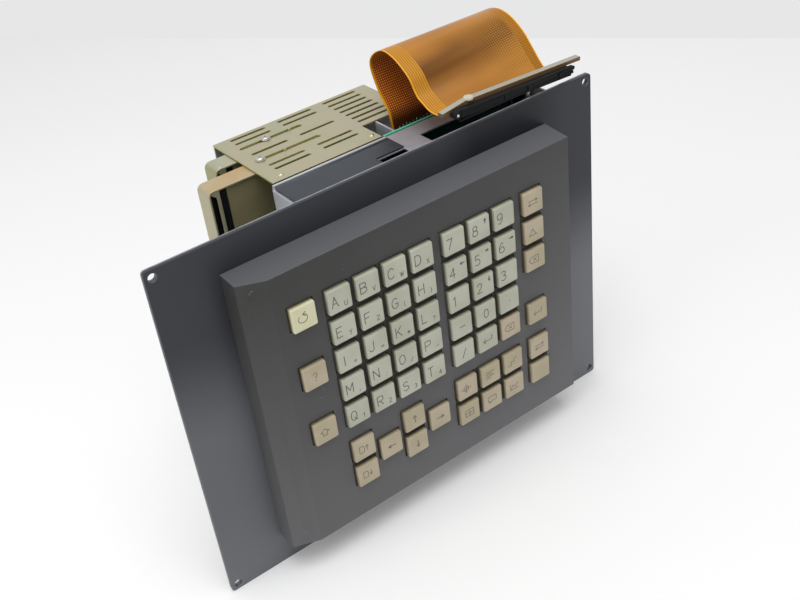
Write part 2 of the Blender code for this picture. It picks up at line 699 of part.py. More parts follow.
def build_inner_board(material):
    """Board on the plate's rear standoffs, its socket facing the header."""
    bm = bmesh.new()
    back = INNER_BOARD_FRONT + BOARD_THICKNESS
    box(bm, (-INNER_BOARD_LEFT, INNER_BOARD_RIGHT), (INNER_BOARD_FRONT, back),
        (-INNER_BOARD_BOTTOM, INNER_BOARD_TOP))
    board = finish(bm, "interface_board", material)
    socket = bmesh.new()
    box(socket, (HEADER_X - HEADER_WIDTH / 2, HEADER_X + HEADER_WIDTH / 2),
        (INNER_BOARD_FRONT - INNER_SOCKET_DEPTH, INNER_BOARD_FRONT + BOARD_THICKNESS / 2),
        (HEADER_Z - HEADER_HEIGHT / 2, HEADER_Z + HEADER_HEIGHT / 2))
    join(board, "inner_board_socket", socket)


def build_main_board(material):
    """Large board across the chassis's rear rim."""
    bm = bmesh.new()
    box(bm, (-MAIN_BOARD_LEFT, MAIN_BOARD_RIGHT), (MAIN_BOARD_FRONT, MAIN_BOARD_BACK),
        (-MAIN_BOARD_BOTTOM, MAIN_BOARD_TOP))
    finish(bm, "main_board", material)


def cage_plan(step_x):
    """Plan of the cage, with a step that leaves room for the flat cable."""
    step_y = CAGE_FRONT + CAGE_STEP_DEPTH
    return [
        (-CAGE_LEFT, CAGE_FRONT), (step_x, CAGE_FRONT), (step_x, step_y),
        (CAGE_RIGHT, step_y), (CAGE_RIGHT, CAGE_BACK), (-CAGE_LEFT, CAGE_BACK),
    ]


def slot_row_y(row):
    """Middle of one row of vents, counted from the cover's rear edge."""
    return CAGE_BACK - VENT_REAR_MARGIN - VENT_PITCH_Y * row


def build_cover(material):
    """Slotted cover: three columns of vents and a long slot for each carrier."""
    bm = bmesh.new()
    prism(bm, cage_plan(CAGE_STEP_RIGHT), "Z", COVER_BOTTOM, CAGE_TOP)
    cover = finish(bm, "vent_cover", material)
    slots = bmesh.new()
    left = -CAGE_LEFT + VENT_LEFT_MARGIN
    low = COVER_BOTTOM - OVERRUN
    high = CAGE_TOP + OVERRUN
    for column, rows in enumerate((SIDE_COLUMN_ROWS, SIDE_COLUMN_ROWS, FULL_COLUMN_ROWS)):
        for row in rows:
            outline = vent_outline(left + VENT_PITCH_X * column, slot_row_y(row),
                                   VENT_LENGTH, VENT_WIDTH)
            prism(slots, outline, "Z", low, high)
    for row in SLOT_ROWS:
        outline = vent_outline(-CAGE_LEFT + LONG_SLOT_LEFT_MARGIN, slot_row_y(row),
                               LONG_SLOT_LENGTH, LONG_SLOT_WIDTH)
        prism(slots, outline, "Z", low, high)
    cut(cover, "cover_slots", slots)


def build_cage(material):
    """Floor, rear wall, right wall, front flange and divider of the cage."""
    bottom = -CAGE_FLOOR
    top = COVER_BOTTOM - FIT_GAP
    wall = CAGE_WALL
    lap = wall / 2
    bm = bmesh.new()
    prism(bm, cage_plan(DIVIDER_X + wall), "Z", bottom, bottom + wall)
    cage = finish(bm, "card_cage", material)
    walls = bmesh.new()
    right = CAGE_RIGHT - wall
    rear = CAGE_BACK - wall
    corner_plan = [
        (-CAGE_LEFT, rear), (right, rear), (right, CAGE_FRONT + CAGE_STEP_DEPTH),
        (CAGE_RIGHT, CAGE_FRONT + CAGE_STEP_DEPTH), (CAGE_RIGHT, CAGE_BACK),
        (-CAGE_LEFT, CAGE_BACK),
    ]
    prism(walls, corner_plan, "Z", bottom + lap, top)
    join(cage, "cage_walls", walls)
    divider = bmesh.new()
    box(divider, (DIVIDER_X, DIVIDER_X + wall), (CAGE_FRONT, CAGE_FRONT + DIVIDER_DEPTH),
        (bottom + lap, CAGE_TOP))
    join(cage, "cage_divider", divider)
    flange = bmesh.new()
    box(flange, (-CAGE_LEFT, DIVIDER_X + lap), (CAGE_FRONT, CAGE_FRONT + wall),
        (bottom + lap, bottom + CAGE_FLANGE))
    join(cage, "cage_flange", flange)


def carrier_front(row):
    """Front level of the carrier whose screw runs in one long slot."""
    return slot_row_y(row) - SCREW_FROM_FRONT


def build_carrier(place, left, row, materials):
    """Carrier, its card and its screw, under one long slot of the cover."""
    sheet = CARRIER_SHEET
    right = left + CARRIER_LENGTH
    slot_y = slot_row_y(row)
    front = carrier_front(row)
    back = front + CARRIER_WIDTH
    bm = bmesh.new()
    outline = [
        (left, CARRIER_BOTTOM), (right, CARRIER_BOTTOM), (right, CARRIER_BOTTOM + sheet),
        (left + sheet, CARRIER_BOTTOM + sheet), (left + sheet, CARRIER_TOP - sheet),
        (right, CARRIER_TOP - sheet), (right, CARRIER_TOP), (left, CARRIER_TOP),
    ]
    prism(bm, outline, "Y", front, back)
    carrier = finish(bm, place + "_card_carrier", materials[0])
    post = bmesh.new()
    post_left = left + CARRIER_POST_INSET
    box(post, (post_left, post_left + CARRIER_POST_WIDTH), (front, front + sheet),
        (CARRIER_BOTTOM + sheet / 2, CARRIER_TOP - sheet / 2))
    join(carrier, place + "_post", post)
    screw_x = left + SCREW_FROM_LEFT
    pin = bmesh.new()
    prism(pin, circle((screw_x + PIN_FROM_SCREW, slot_y), PIN_DIAMETER, 8), "Z",
          CARRIER_TOP - sheet / 2, CAGE_TOP + PIN_RISE)
    join(carrier, place + "_pin", pin)
    thread = bmesh.new()
    prism(thread, circle((screw_x, slot_y), SCREW_SHANK_DIAMETER + 3 * FIT_GAP, 8), "Z",
          CARRIER_TOP - sheet - OVERRUN, CARRIER_TOP + OVERRUN)
    cut(carrier, place + "_thread", thread)

    bm = bmesh.new()
    card_front = front + CARD_SETBACK + FIT_GAP
    card_left = left + CARD_INSET
    box(bm, (card_left, card_left + CARD_LENGTH), (card_front, card_front + CARD_THICKNESS),
        (CARRIER_BOTTOM + sheet + FIT_GAP, CARRIER_TOP - sheet - FIT_GAP))
    finish(bm, place + "_card", materials[1])

    bm = bmesh.new()
    head_bottom = CAGE_TOP + FIT_GAP
    head_top = head_bottom + SCREW_HEAD_HEIGHT
    levels = (
        (SCREW_SHANK_DIAMETER, CARRIER_TOP - sheet), (SCREW_SHANK_DIAMETER, head_bottom),
        (SCREW_HEAD_DIAMETER, head_bottom),
        (SCREW_HEAD_DIAMETER, head_top - SCREW_HEAD_HEIGHT / 2),
        (SCREW_HEAD_DIAMETER * SCREW_HEAD_CROWN_SHARE, head_top),
    )
    rings = [
        [bm.verts.new((x, y, z)) for x, y in circle((screw_x, slot_y), diameter)]
        for diameter, z in levels
    ]
    bm.faces.new(rings[0])
    bm.faces.new(rings[-1])
    for first, second in zip(rings, rings[1:]):
        bridge(bm, first, second)
    finish(bm, place + "_carrier_screw", materials[2], smooth=True)


def spline_point(points, t):
    """A smooth curve through given points, t from 0 to their last index."""
    i = min(int(t), len(points) - 2)
    s = t - i
    before = points[max(i - 1, 0)]
    after = points[min(i + 2, len(points) - 1)]
    result = []
    for a, b, c, d in zip(before, points[i], points[i + 1], after):
        slope_in = (c - a) / 2
        slope_out = (d - b) / 2
        result.append(
            b * (2 * s ** 3 - 3 * s ** 2 + 1) + slope_in * (s ** 3 - 2 * s ** 2 + s)
            + c * (3 * s ** 2 - 2 * s ** 3) + slope_out * (s ** 3 - s ** 2)
        )
    return result


def cable_edge(shares):
    """Side view of one edge of the cable, in even steps from end to end."""
    reach = CABLE_REAR_Y - CABLE_FRONT_Y
    points = []
    for across, up in shares:
        points.append((CABLE_FRONT_Y + across * reach, END_BOARD_TOP + up * CABLE_RISE))
    points.append((CABLE_REAR_Y, SOCKET_TOP))
    points.append((CABLE_REAR_Y, SOCKET_TOP - SOCKET_SLOT_DEPTH + FIT_GAP))
    last = len(points) - 1
    fine = [spline_point(points, last * i / (20 * CABLE_STEPS)) for i in range(20 * CABLE_STEPS + 1)]
    lengths = [0.0]
    for first, second in zip(fine, fine[1:]):
        lengths.append(lengths[-1] + math.dist(first, second))
    even = []
    place = 0
    for i in range(CABLE_STEPS):
        while lengths[place] < lengths[-1] * i / CABLE_STEPS:
            place += 1
        even.append(fine[place])
    return [*even, fine[-1]]


def thickened(route):
    """Outline of a strip of the cable's thickness along a side view."""
    half = CABLE_THICKNESS / 2
    outer = []
    inner = []
    for i, (y, z) in enumerate(route):
        before = route[max(i - 1, 0)]
        after = route[min(i + 1, len(route) - 1)]
        length = math.dist(before, after)
        step_y = half * (after[1] - before[1]) / length
        step_z = half * (after[0] - before[0]) / length
        outer.append((y - step_y, z + step_z))
        inner.append((y + step_y, z - step_z))
    return outer + inner[::-1]


def build_cable(material):
    """Flat cable of even thickness, straight across from edge to edge."""
    left = thickened(cable_edge(LEFT_EDGE_SHARES))
    right = thickened(cable_edge(RIGHT_EDGE_SHARES))
    bm = bmesh.new()
    near = [bm.verts.new((CABLE_LEFT, y, z)) for y, z in left]
    far = [bm.verts.new((CABLE_LEFT + CABLE_WIDTH, y, z)) for y, z in right]
    bridge(bm, near, far)
    last = len(left) - 1
    for side in (near, far):
        for i in range(CABLE_STEPS):
            bm.faces.new((side[i], side[i + 1], side[last - 1 - i], side[last - i]))
    finish(bm, "flat_cable", material, smooth=True)


def tilt(outline):
    """Turns an outline about the upper right corner of the end board."""
    cosine = math.cos(END_BOARD_TILT)
    sine = math.sin(END_BOARD_TILT)
    turned = []
    for x, z in outline:
        run = x - END_BOARD_RIGHT
        rise = z - END_BOARD_TOP
        turned.append((END_BOARD_RIGHT + run * cosine + rise * sine,
                       END_BOARD_TOP + rise * cosine - run * sine))
    return turned


def rectangle(x_pair, z_pair):
    """Corners of a rectangle."""
    return [(x_pair[i], z_pair[j]) for i, j in ((0, 0), (1, 0), (1, 1), (0, 1))]


def build_end_board(material):
    """Stiff end of the flat cable, low at both ends, its upper left corner cut away."""
    bottom = END_BOARD_TOP - END_BOARD_HEIGHT
    left_top = END_BOARD_TOP - END_BOARD_CUT_HEIGHT
    outline = [
        (END_BOARD_LEFT, left_top - END_BOARD_RIM), (PLUG_LEFT, left_top - END_BOARD_RIM),
        (PLUG_LEFT, bottom), (PLUG_RIGHT, bottom), (PLUG_RIGHT, END_BOARD_TOP - END_BOARD_RIM),
        (END_BOARD_RIGHT, END_BOARD_TOP - END_BOARD_RIM), (END_BOARD_RIGHT, END_BOARD_TOP),
        (END_BOARD_LEFT + END_BOARD_CUT_WIDTH, END_BOARD_TOP), (END_BOARD_LEFT, left_top),
    ]
    bm = bmesh.new()
    prism(bm, tilt(outline), "Y", END_BOARD_FRONT, END_BOARD_BACK)
    finish(bm, "cable_end_board", material)


def build_plug(material):
    """Plug on the end board's front face, with a lip at its right end."""
    back = END_BOARD_FRONT - FIT_GAP
    top = END_BOARD_TOP - PLUG_TOP_DROP
    bm = bmesh.new()
    prism(bm, tilt(rectangle((PLUG_LEFT, PLUG_RIGHT), (top - PLUG_HEIGHT, top))), "Y",
          back - PLUG_DEPTH, back)
    plug = finish(bm, "cable_plug", material)
    lip = bmesh.new()
    lip_outline = rectangle((PLUG_RIGHT - PLUG_LIP, PLUG_RIGHT + PLUG_LIP),
                            (top - PLUG_HEIGHT * 2 / 3, top - PLUG_HEIGHT / 6))
    prism(lip, tilt(lip_outline), "Y", back - PLUG_DEPTH * 2 / 3, back - PLUG_DEPTH / 6)
    join(plug, "plug_lip", lip)


def build_socket(material):
    """Socket on the main board's rear face, open at its top for the cable."""
    right = CABLE_LEFT + CABLE_WIDTH
    bm = bmesh.new()
    box(bm, (CABLE_LEFT - SOCKET_MARGIN, right + SOCKET_MARGIN),
        (SOCKET_FRONT, SOCKET_FRONT + SOCKET_DEPTH), (SOCKET_TOP - SOCKET_HEIGHT, SOCKET_TOP))
    socket = finish(bm, "cable_socket", material)
    slot = bmesh.new()
    box(slot, (CABLE_LEFT - FIT_GAP, right + FIT_GAP),
        (CABLE_REAR_Y - SOCKET_SLOT_WIDTH / 2, CABLE_REAR_Y + SOCKET_SLOT_WIDTH / 2),
        (SOCKET_TOP - SOCKET_SLOT_DEPTH, SOCKET_TOP + OVERRUN))
    cut(socket, "socket_slot", slot)


def build_all():
    """Builds every piece of the keyboard unit."""
    clear_objects()
    cream = make_material("cream_plastic", "C4C5B0", 0.45)
    beige = make_material("beige_plastic", "C2B59D", 0.45)
    board_green = make_material("board_green", "2F5A48", 0.5)
    zinc = make_material("zinc_sheet", "B4B5B8", 0.35, 0.9)
    chromate = make_material("chromate_sheet", "B9B294", 0.4, 0.6)
    black = make_material("black_plastic", "26272A", 0.5)

    build_plate(make_material("plate_paint", "55565A", 0.5))
    build_bezel(make_material("bezel_plastic", "545452", 0.55))
    letters = [
        "letter_key_{}{}".format("abcde"[i], j + 1)
        for i in range(UPPER_ROWS) for j in range(LETTER_COLUMNS)
    ]
    cream_mesh = build_key_mesh("cream_key", cream)
    beige_mesh = build_key_mesh("beige_key", beige)
    place_keys(("reset_key",), MOVING_KEY_ROWS["reset"], beige_mesh)
    place_keys(letters, MOVING_KEY_ROWS["letter"], cream_mesh)
    place_keys(NUMBER_NAMES, MOVING_KEY_ROWS["number"], cream_mesh)
    place_keys(EDIT_NAMES, MOVING_KEY_ROWS["edit"], beige_mesh)
    place_keys(("input_key",), MOVING_KEY_ROWS["input"], beige_mesh)
    build_function_mat(beige)
    build_keyboard_board(board_green)

    build_chassis(zinc)
    build_top_sheet(make_material("top_sheet_paint", "575B62", 0.5))
    build_inner_board(board_green)
    build_main_board(board_green)
    build_cover(chromate)
    build_cage(zinc)
    card_materials = (chromate, make_material("card_brown", "5E5A41", 0.6), zinc)
    build_carrier("front", -FRONT_CARRIER_LEFT, SLOT_ROWS[1], card_materials)
    build_carrier("rear", -REAR_CARRIER_LEFT, SLOT_ROWS[0], card_materials)

    build_cable(make_material("amber_film", "A8691F", 0.3))
    build_end_board(make_material("end_board_tan", "9A8C70", 0.5))
    build_plug(black)
    build_socket(black)


build_all()
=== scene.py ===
import functools
import json
import math

import bmesh
import bpy
import numpy as np
from mathutils import Matrix, Vector

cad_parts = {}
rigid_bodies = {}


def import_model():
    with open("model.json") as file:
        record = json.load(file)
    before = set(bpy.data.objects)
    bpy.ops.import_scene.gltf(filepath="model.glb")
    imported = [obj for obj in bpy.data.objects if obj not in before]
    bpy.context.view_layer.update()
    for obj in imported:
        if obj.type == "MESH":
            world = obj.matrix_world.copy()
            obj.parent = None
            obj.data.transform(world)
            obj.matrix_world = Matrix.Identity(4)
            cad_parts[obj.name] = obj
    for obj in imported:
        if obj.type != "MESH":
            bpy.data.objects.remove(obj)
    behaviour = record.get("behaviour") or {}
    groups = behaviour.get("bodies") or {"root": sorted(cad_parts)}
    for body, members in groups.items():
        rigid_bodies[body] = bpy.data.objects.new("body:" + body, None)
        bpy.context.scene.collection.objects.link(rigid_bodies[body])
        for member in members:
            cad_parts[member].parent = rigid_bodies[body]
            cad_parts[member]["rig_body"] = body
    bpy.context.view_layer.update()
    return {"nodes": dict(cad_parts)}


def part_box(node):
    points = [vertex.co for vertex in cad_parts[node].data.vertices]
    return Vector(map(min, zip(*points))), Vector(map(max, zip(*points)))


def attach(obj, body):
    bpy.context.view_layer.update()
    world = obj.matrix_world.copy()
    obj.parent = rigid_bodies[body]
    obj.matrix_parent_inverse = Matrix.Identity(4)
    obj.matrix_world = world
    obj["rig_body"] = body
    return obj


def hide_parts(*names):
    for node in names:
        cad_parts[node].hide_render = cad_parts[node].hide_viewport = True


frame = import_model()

NODES = frame["nodes"]
MM = 0.001

# Camera, at the photograph's viewing angle
CAMERA_PLACE = (-0.28409, -0.43462, 0.37697)
CAMERA_RIGHT = (0.79326, -0.59929, -0.10768)
CAMERA_UP = (0.41346, 0.40035, 0.81779)
CAMERA_LENS = 49.782
SENSOR_WIDTH = 36.0

# Floor under the plate's lower edge, and its straight far edge, in metres
FLOOR_LEVEL = -0.1101
FLOOR_FAR_LEFT = (0.0983, 1.0296)
FLOOR_FAR_RIGHT = (0.6992, 0.2469)
FLOOR_REACH = 4.0

# Lamps: name, place in metres, size and power
LAMPS = (("overhead_softbox", (-0.15, -0.32, 1.25), 0.9, 8.8), ("left_softbox", (-1.2, 0.0, 0.6), 0.8, 3.2))

# Flat cable's film, in millimetres
FILM_WIDTH = 77.5
FILM_THICKNESS = 0.4
FILM_LEFT = 43.0
FILM_FRONT_Y = 9.5
FILM_REAR_Y = 57.0
FILM_TOP_Z = 118.0
FILM_RISE = 27.4
SOCKET_TOP_Z = 90.0
SLOT_DEPTH = 5.7
TRACK_HALF_PITCH = 0.7
LEFT_BORDER = 9.8
RIGHT_BORDER = 6.4


# Materials
# Object coordinates are metres, so a noise scale of 1000 / size draws patches of that size in mm.

# Forms of nodes: the kind, the sockets that a call fills in order, the output that is used, and settings
FORMS = {
    "place": ("TexCoord", (), "Object", {}),
    "direction": ("TexCoord", (), "Generated", {}),
    "film place": ("UVMap", (), 0, {"uv_map": "film"}),
    "normal": ("NewGeometry", (), "Normal", {}),
    "axes": ("SeparateXYZ", (0,), None, {}),
    "stretch": ("Mapping", ("Vector", "Scale"), 0, {}),
    "noise": ("TexNoise", ("Vector", "Scale", "Detail", "Distortion"), 0, {}),
    "cells": ("TexVoronoi", ("Vector", "Scale"), 0, {}),
    "checks": ("TexChecker", ("Vector", "Scale"), "Fac", {}),
    "ramp": ("MapRange", (0, 1, 2, 3, 4), 0, {}),
    "soft ramp": ("MapRange", (0, 1, 2, 3, 4), 0, {"interpolation_type": "SMOOTHSTEP"}),
    "blend": ("Mix", (0, 6, 7), 2, {"data_type": "RGBA"}),
    "either": ("Mix", (0, 2, 3), 0, {"data_type": "FLOAT"}),
    "sum": ("Math", (0, 1), 0, {}),
    "clamped sum": ("Math", (0, 1), 0, {"use_clamp": True}),
    "difference": ("Math", (0, 1), 0, {"operation": "SUBTRACT"}),
    "product": ("Math", (0, 1), 0, {"operation": "MULTIPLY"}),
    "larger": ("Math", (0, 1), 0, {"operation": "MAXIMUM"}),
    "size": ("Math", (0,), 0, {"operation": "ABSOLUTE"}),
    "zigzag": ("Math", (0, 1), 0, {"operation": "PINGPONG"}),
    "along": ("VectorMath", (0, 1), "Value", {"operation": "DOT_PRODUCT"}),
    "relief": ("Bump", ("Height", "Distance"), 0, {}),
    "rays": ("LightPath", (), None, {}),
    "glow": ("Background", ("Color", "Strength"), 0, {}),
    "glow choice": ("MixShader", (0, 1, 2), 0, {}),
    "world": ("OutputWorld", ("Surface",), None, {}),
}


def linear(code):
    """Linear light of a six-digit sRGB colour, with full opacity."""
    channels = []
    for i in (0, 2, 4):
        value = int(code[i:i + 2], 16) / 255
        channels.append(value / 12.92 if value <= 0.04045 else ((value + 0.055) / 1.055) ** 2.4)
    return (*channels, 1.0)


def fill(tree, node, inputs):
    """Gives a node's sockets their links, sRGB colours or values."""
    for name, value in inputs.items():
        if isinstance(value, bpy.types.NodeSocket):
            tree.links.new(value, node.inputs[name])
        else:
            node.inputs[name].default_value = linear(value) if isinstance(value, str) else value


def add(tree, form, *values):
    """Adds a node of a form with its settings and links, and gives the form's output, or all outputs."""
    kind, sockets, out, settings = FORMS[form]
    node = tree.nodes.new("ShaderNode" + kind)
    for name, value in settings.items():
        setattr(node, name, value)
    fill(tree, node, dict(zip(sockets, values)))
    return node.outputs if out is None else node.outputs[out]


def begin(name):
    """A new material, what adds nodes to it, and its piece's own coordinates in metres."""
    material = bpy.data.materials.new(name)
    material.use_nodes = True
    node = functools.partial(add, material.node_tree)
    return material, node, node("place")


def end(material, colour, roughness, others={}, relief=None, depth=0.0):
    """Gives the shader its colour, roughness and other values, and a relief of some depth in millimetres."""
    tree = material.node_tree
    inputs = {"Base Color": colour, "Roughness": roughness, **others}
    if relief is not None:
        inputs["Normal"] = add(tree, "relief", relief, depth * MM)
    fill(tree, tree.nodes["Principled BSDF"], inputs)
    return material


def facing(node, axis):
    """How squarely the surface lies across an axis: the size of its normal's share along it."""
    return node("size", node("axes", node("normal"))[axis])


def distance(node, place, middle):
    """How far a place is from a middle, either way."""
    return node("size", node("difference", place, middle))


def baked_enamel():
    """Dark grey baked enamel on an aluminium plate: faint orange peel, and paler cut edges, partly rubbed
    paint and partly a painted highlight.

    Paler toward the lower right: fine dust and a painted floor reflection. Darker below the plug: a painted
    dark reflection.
    """
    material, node, where = begin("baked_enamel_on_aluminium")
    wide = node("noise", where, 18.0, 3.0)
    spot = node("axes", where)
    cloudy = node("ramp", wide, 0, 1, -6 * MM, 6 * MM)
    # Paler toward the lower right and along the bottom: partly fine dust, partly a painted reflection of the
    # floor
    downward = node("sum", node("along", where, (-0.06, 0.0, -1.0)), cloudy)
    toward_low = node("soft ramp", downward, -58 * MM, 16 * MM)
    more_right = node("ramp", spot["X"], -60 * MM, 130 * MM, 0.7)
    lowest = node("ramp", spot["Z"], -50 * MM, -110 * MM, 0, 0.22)
    dust_and_reflection = node("clamped sum", node("product", toward_low, more_right), lowest)
    face = node("blend", dust_and_reflection, "3C3D42", "77797D")
    # Darker at the top below the plug: a painted dark reflection
    under_plug = node("ramp", distance(node, spot["X"], 78 * MM), 46 * MM, 22 * MM)
    painted_dark_reflection = node("product", node("ramp", spot["Z"], 70 * MM, 92 * MM, 0, 0.9), under_plug)
    face = node("blend", painted_dark_reflection, face, "232429")
    # Paler band on the cut faces: partly rubbed paint, partly a painted highlight
    arris = node("ramp", spot["Y"], -1.3 * MM, -0.7 * MM)
    wear_and_highlight = node("product", arris, node("ramp", node("noise", where, 260.0, 5.0), 0.2, 0.5))
    edge = node("blend", wear_and_highlight, "3C3D42", "8E8F94")
    colour = node("blend", node("ramp", facing(node, "Y"), 0.90, 0.45), face, edge)
    sheen = node("ramp", wide, 0, 1, 0.34, 0.46)
    peel = node("noise", where, 1100.0, 2.0)
    return end(material, colour, sheen, {"Specular IOR Level": 0.22}, peel, 0.008)


def moulded_abs():
    """Dark grey moulded ABS with a spark-eroded grain of 0.5 mm.

    Paler toward the lower right (handling and painted light), on up-facing faces (painted top light and
    dust), and along the upper arris (painted highlight).
    """
    material, node, where = begin("moulded_abs_dark_grey")
    wide = node("noise", where, 24.0, 3.0)
    cloudy = node("ramp", wide, 0, 1, -0.08, 0.08)
    # Paler toward the lower right: partly handling, partly painted light
    handling_and_painted_light = node("sum", node("along", where, (1.2, 0.0, -4.8)), cloudy)
    tint = node("blend", node("ramp", handling_and_painted_light, -0.5, 0.5), "414140", "6F6F71")
    way = node("axes", node("normal"))
    # Paler on faces that look up: painted top light, with some settled dust
    tint = node("blend", node("ramp", way["Z"], 0.6, 0.98, 0, 0.75), tint, "64656A")
    arris = node("product", way["Y"], way["Z"])
    # Paler along the upper front arris: a painted highlight
    tint = node("blend", node("ramp", arris, -0.2, -0.46, 0, 0.7), tint, "8B8C8E")
    dots = node("ramp", node("cells", where, 190.0), 0.07, 0.04)
    rare = node("ramp", node("noise", where, 60.0), 0.56, 0.62)
    colour = node("blend", node("product", dots, rare), tint, "8C8B88")
    sheen = node("ramp", wide, 0, 1, 0.42, 0.54)
    grain = node("noise", where, 2000.0, 2.0)
    return end(material, colour, sheen, {"Specular IOR Level": 0.22}, grain, 0.014)


def keycap_plastic(name, plain, aged, foot_dirt_and_shade):
    """Moulded key plastic with a fine matt grain: its tint drifts between caps, and each foot is darker,
    partly dirt and partly painted shade.
    """
    material, node, where = begin(name)
    tint = node("blend", node("ramp", node("noise", where, 58.0, 1.0), 0.38, 0.62), plain, aged)
    # Darker foot below the housing's face: partly dirt, partly painted shade in the gap
    foot = node("ramp", node("axes", where)["Y"], -25.3 * MM, -24.1 * MM)
    grain = node("noise", where, 3500.0, 1.0)
    return end(material, node("blend", foot, tint, foot_dirt_and_shade), 0.42, {}, grain, 0.006)


def legend_ink(name, ink, ground):
    """Pad-printed ink, so thin that the plastic shows through where fingers wore it."""
    material, node, where = begin(name)
    worn = node("ramp", node("noise", where, 900.0, 3.0), 0.45, 0.8)
    return end(material, node("blend", worn, ink, ground), 0.5)


def zinc_plate():
    """Bright zinc plating on cold-rolled steel: cloudy patches of 9 mm and faint rolling lines along X."""
    material, node, where = begin("zinc_plated_steel")
    cloud = node("noise", where, 110.0, 4.0)
    lines = node("noise", node("stretch", where, (60.0, 1600.0, 1600.0)), 1.0, 2.0)
    return end(material, node("blend", cloud, "C8C9CE", "A6A8AE"), node("ramp", cloud, 0, 1, 0.34, 0.52),
               {"Metallic": 0.55}, lines, 0.006)


def chromate(name, plain, gold, green, edge, share):
    """Yellow chromate over zinc: a khaki film, gold and green in clouds, and yellow-green on cut edges,
    partly a painted highlight.
    """
    material, node, where = begin(name)
    wide = node("noise", where, 38.0, 3.0)
    small = node("noise", where, 77.0, 4.0, 0.6)
    film = node("blend", node("ramp", wide, share, share + 0.3), plain, gold)
    film = node("blend", node("ramp", small, 0.48, 0.74), film, green)
    # Faces that don't look up take the edge colour: partly the chromate's own edge tint, partly a painted
    # highlight
    colour = node("blend", node("ramp", facing(node, "Z"), 0.97, 0.6), film, edge)
    sheen = node("ramp", small, 0, 1, 0.34, 0.5)
    return end(material, colour, sheen, {"Metallic": 0.4}, node("noise", where, 2000.0, 2.0), 0.005)


def passivated_sheet():
    """Blue-grey passivated steel, streaked along its rolling direction, with a painted highlight over the
    rear fold.
    """
    material, node, where = begin("passivated_blue_grey_steel")
    streak = node("noise", node("stretch", where, (30.0, 250.0, 250.0)), 1.0, 4.0)
    # Bright band over the rear fold: a painted highlight
    painted_fold_highlight = node("ramp", node("axes", where)["Y"], 36.2 * MM, 38.4 * MM)
    colour = node("blend", painted_fold_highlight, node("blend", streak, "2F333A", "3B4047"), "D2D3D7")
    return end(material, colour, node("ramp", streak, 0, 1, 0.36, 0.5), {"Metallic": 0.3})


def solder_mask():
    """Green solder mask over copper: traces every 1.27 mm that change direction.

    The cut edge is teal, and nearly black at the left end.
    """
    material, node, where = begin("solder_mask_on_glass_epoxy")
    spot = node("axes", where)
    upright, level = (node("ramp", node("zigzag", spot[axis], 1.27 * MM), 0.30 * MM, 0.16 * MM)
                      for axis in "XZ")
    turn = node("ramp", node("noise", where, 66.0, 0.0), 0.48, 0.50)
    bare = node("ramp", node("noise", where, 120.0, 0.0), 0.42, 0.45)
    trace = node("product", node("either", turn, upright, level), bare)
    mask = node("blend", trace, "1E5A45", "35775B")
    # The cut edge turns nearly black over its last 6 mm at the left end
    sawn = node("blend", node("ramp", spot["X"], -40 * MM, -46 * MM), "3F8F76", "23241C")
    colour = node("blend", node("ramp", facing(node, "Y"), 0.7, 0.3), mask, sawn)
    return end(material, colour, 0.34, {"Coat Weight": 0.3}, trace, 0.03)


def laminate(name, plain, dark, cut_edge):
    """Bare glass-epoxy laminate: a weave of 0.6 mm under the resin, and a paler edge where it was sawn."""
    material, node, where = begin(name)
    face = node("blend", node("noise", where, 83.0, 3.0), plain, dark)
    top = node("ramp", node("axes", node("normal"))["Z"], 0.5, 0.9)
    return end(material, node("blend", top, face, cut_edge), 0.45, {}, node("checks", where, 1600.0), 0.008)


def film_places(node, rim, clear, solid):
    """Where a spot lies on the film: its place in mm, the bare rim, the gaps between tracks, and the holes.

    Tracks and rungs repeat every 1.4 mm; holes are where gaps in both directions cross.
    """
    place = node("film place")
    spot = node("axes", place)
    half = FILM_WIDTH / 2
    bare = node("ramp", distance(node, spot["X"], half), half - rim, half - rim + 0.4)
    gaps, between = (node("ramp", node("zigzag", spot[axis], TRACK_HALF_PITCH), clear, solid)
                     for axis in "XY")
    return place, spot, bare, gaps, node("product", gaps, between)


def film_outside():
    """Amber polyimide over copper tracks: brown where copper lies under it, amber at both plain borders.

    The ground mesh of 1.4 mm shows through only near the right border; a darker band across its middle is a
    painted reflection.
    """
    material, node, _ = begin("polyimide_film_outside")
    place, spot, rim, gaps, holes = film_places(node, 0.9, 0.25, 0.45)
    left_border = node("ramp", spot["X"], LEFT_BORDER, LEFT_BORDER - 0.4)
    right_border = node("ramp", spot["X"], FILM_WIDTH - RIGHT_BORDER, FILM_WIDTH - RIGHT_BORDER + 0.4)
    drift = node("ramp", node("noise", node("stretch", place, (0.012, 0.035, 1.0)), 1.0, 2.0), 0.35, 0.65)
    # Copper darkest across the middle of the film's length, lighter toward both ends: a painted reflection
    painted_reflection_band = node("ramp", distance(node, spot["Y"], 30.0), 3.0, 17.0, 0, 0.65)
    copper = node("blend", node("sum", painted_reflection_band, node("product", drift, 0.35)), "552D05", "C08236")
    shown = node("product", holes, node("ramp", spot["X"], 36.0, 66.0, 0, 0.6))
    body = node("blend", shown, copper, "E0A040")
    lined = node("blend", node("product", gaps, left_border), "AE741D", "CC902E")
    low = node("ramp", spot["Y"], 54.0, 38.0, 0, 0.9)
    lined = node("blend", node("product", node("product", holes, low), right_border), lined, "7C450C")
    body = node("blend", node("larger", left_border, right_border), body, lined)
    colour = node("blend", rim, body, "F2AA28")
    return end(material, colour, 0.28, {"Specular IOR Level": 0.2}, gaps, 0.02)


